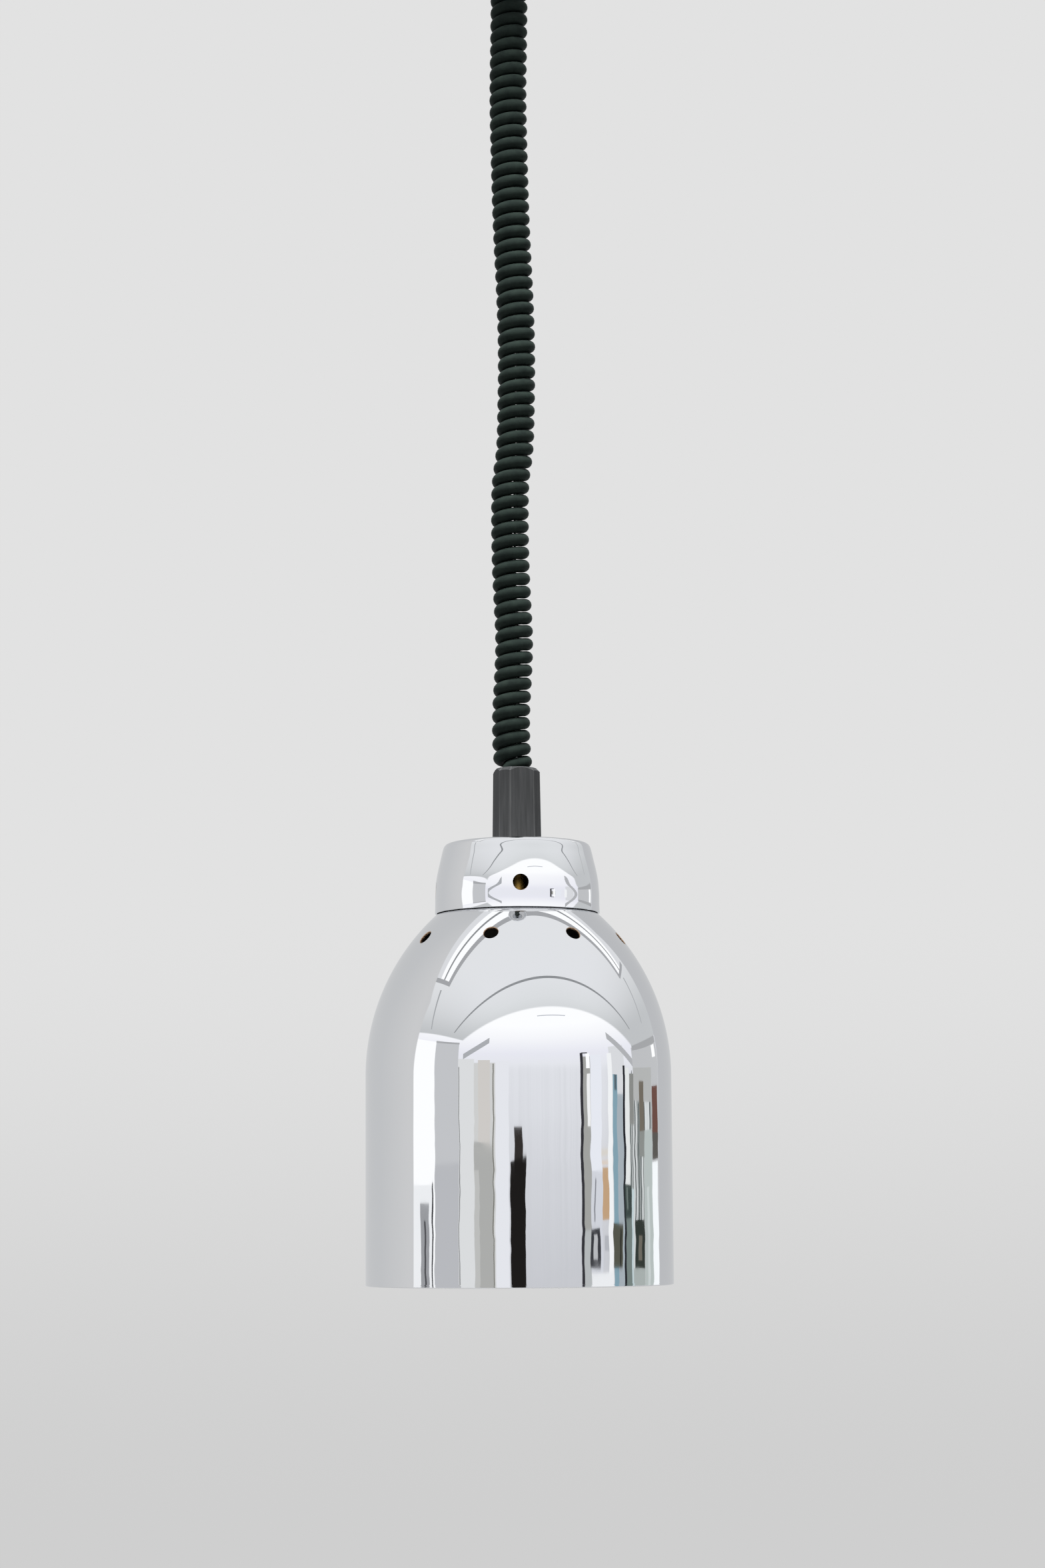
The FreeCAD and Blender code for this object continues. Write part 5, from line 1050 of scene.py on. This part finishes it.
def makeCap():
    cap = capShell
    wall, radius, rim = cap["wall"], cap["radius"], cap["rim"]
    outline = arcRun((radius - wall / 2, rim + wall / 2), wall / 2, 180, 360, 12)
    for name, hole in (("outer", cap["outer"][-1][1]), ("inner", cap["inner"][0][1])):
        bend = [Vector((p.x, rim + p.z)) for p in routeLine(name, [(r, 0, h) for r, h in cap[name]], 6)]
        edge = [Vector((cap["hole"], rim + hole))]
        outline += bend + edge if name == "outer" else edge + bend
    shell = spinOutline("capShell", outline, cap["spin"], "chrome")
    side = Matrix.Translation((radius, 0, rim + cap["ventRise"])) @ Matrix.Rotation(math.pi / 2, 4, "Y")
    cutHoles(shell, drillOutline(cap["vent"], cap["ventFlare"], outer=0.003),
             roundAxis(side, cap["vents"], cap["firstVent"]))
    paintInside(shell, rim + wall)
    lean = routeLine("lean", [(degrees, 0, rim + h) for degrees, h in cap["lean"]], 6)
    polishNormals(shell, outline, lean)
    standFor(shell, "cap", "lamp_head")
    print("cap is spun")


ceilingCup = {
    "radius": 0.062, "wall": 0.0012, "top": -0.0005, "floor": -0.078, "corner": 0.020, "hole": 0.01103,
    "spin": 144, "screwHole": 0.00215, "screwDrop": -0.009, "edge": 0.0005, "plated": 0.002,
}


def makeCup():
    cup = ceilingCup
    wall, radius = cup["wall"], cup["radius"]
    outline = roundOff((
        (cup["hole"], cup["floor"], 0), (radius, cup["floor"], cup["corner"]),
        (radius, cup["top"], cup["edge"]), (radius - wall, cup["top"], cup["edge"]),
        (radius - wall, cup["floor"] + wall, cup["corner"] - wall), (cup["hole"], cup["floor"] + wall, 0)))
    shell = spinOutline("ceilingCup", outline, cup["spin"], "chrome")
    places = []
    for side in (1, -1):
        quarter = Matrix.Rotation(side * math.pi / 2, 4, "Y")
        places.append(Matrix.Translation((side * radius, 0, cup["screwDrop"])) @ quarter)
    cutHoles(shell, drillOutline(cup["screwHole"]), places)
    # the dark inside finish, which carries painted shade, on the wall and floor inside
    shell.data.materials.append(setFinishes["inside"])
    for face in shell.data.polygons:
        inFloor = face.normal.z > 0.3 and face.center.z < cup["top"] - cup["plated"]
        if looksAtAxis(face) or inFloor:
            face.material_index = len(shell.data.materials) - 1
    polishNormals(shell, outline)
    standFor(shell, "ceiling_cup", "ceiling_rose")
    print("ceiling cup is spun")


cordGland = {
    "bore": 0.0023, "socket": 0.01088, "tip": 0.0136, "root": 0.0165, "shank": 0.01093, "shankTop": -0.062,
    "spin": 96, "leadHole": 0.00251, "leadFlare": 0.0002, "leadDepth": 0.03,
    "mouthEdge": 0.0006, "tipEdge": 0.0009, "shankEdge": 0.0004,
}


def makeGland():
    gland = cordGland
    floor, end, cupFloor = cordSockets["glandFloor"], cordSockets["glandEnd"], ceilingCup["floor"]
    outline = roundOff((
        (gland["bore"], floor, 0), (gland["socket"], floor, 0), (gland["socket"], end, gland["mouthEdge"]),
        (gland["tip"], end, gland["tipEdge"]), (gland["root"], cupFloor, 0), (gland["shank"], cupFloor, 0),
        (gland["shank"], gland["shankTop"], gland["shankEdge"]), (gland["bore"], gland["shankTop"], 0)))
    body = spinOutline("cordGland", outline, gland["spin"], "nylon")
    cutHoles(body, drillOutline(gland["leadHole"], gland["leadFlare"], inner=gland["leadDepth"]),
             [Matrix.Translation((*cordSockets["glandSpot"], gland["shankTop"]))], "nylon")
    polishNormals(body, outline)
    standFor(body, "cord_gland", "ceiling_rose")
    print("cord gland is turned")


lampBulb = {
    "face": -0.8533, "radius": 0.0625, "faceCurve": 0.095, "faceEdge": 0.050,
    "neck": 0.017, "neckLow": 0.1247, "neckTop": 0.1425,
    "foot": 0.01265, "baseLow": 0.1565, "footTop": 0.1645,
    "wall": 0.001, "spin": 128, "smooth": 40,
    "silvered": 0.006,      # above the widest place
}


def makeBulb():
    bulb = lampBulb
    level, radius, curve, rim = bulb["face"], bulb["radius"], bulb["faceCurve"], bulb["faceEdge"]
    faceAngle = math.degrees(math.asin(rim / curve))
    edge = (radius - rim) / (1 - rim / curve)
    faceRise = curve - math.sqrt(curve ** 2 - rim ** 2)
    widest = faceRise + edge * (curve - faceRise) / curve
    climb, narrowing = bulb["neckLow"] - widest, radius - bulb["neck"]
    flare = (climb ** 2 + narrowing ** 2) / (2 * narrowing)
    outline = arcRun((0, level + curve), curve, -90, -90 + faceAngle, 24)
    outline += arcRun((radius - edge, level + widest), edge, -90 + faceAngle, 0, 20)[1:]
    flareAngle = math.degrees(math.asin(climb / flare))
    outline += arcRun((radius - flare, level + widest), flare, 0, flareAngle, 32)[1:]
    outline += [Vector((reach, level + rise)) for reach, rise in (
        (bulb["neck"], bulb["neckTop"]), (bulb["foot"], bulb["baseLow"]), (bulb["foot"], bulb["footTop"]),
        (0, bulb["footTop"]))]
    outline[0].x = 0
    glass = spinOutline("bulbGlass", outline, bulb["spin"], "ruby", closed=False)
    bpy.ops.object.shade_smooth_by_angle(angle=math.radians(bulb["smooth"]))
    shell = glass.modifiers.new("glassWall", "SOLIDIFY")
    shell.thickness = bulb["wall"]
    shell.offset = -1
    bpy.ops.object.modifier_apply(modifier="glassWall")
    glass.data.materials.append(setFinishes["silvered"])
    for face in glass.data.polygons:
        if face.center.z > level + widest + bulb["silvered"]:
            face.material_index = 1
    standFor(glass, "bulb_glass", "lamp_head")
    print("bulb is blown")


makeCurlyFlex()
makeRope()
makeLeads()
makeDome()
makeCap()
makeCup()
makeGland()
makeBulb()
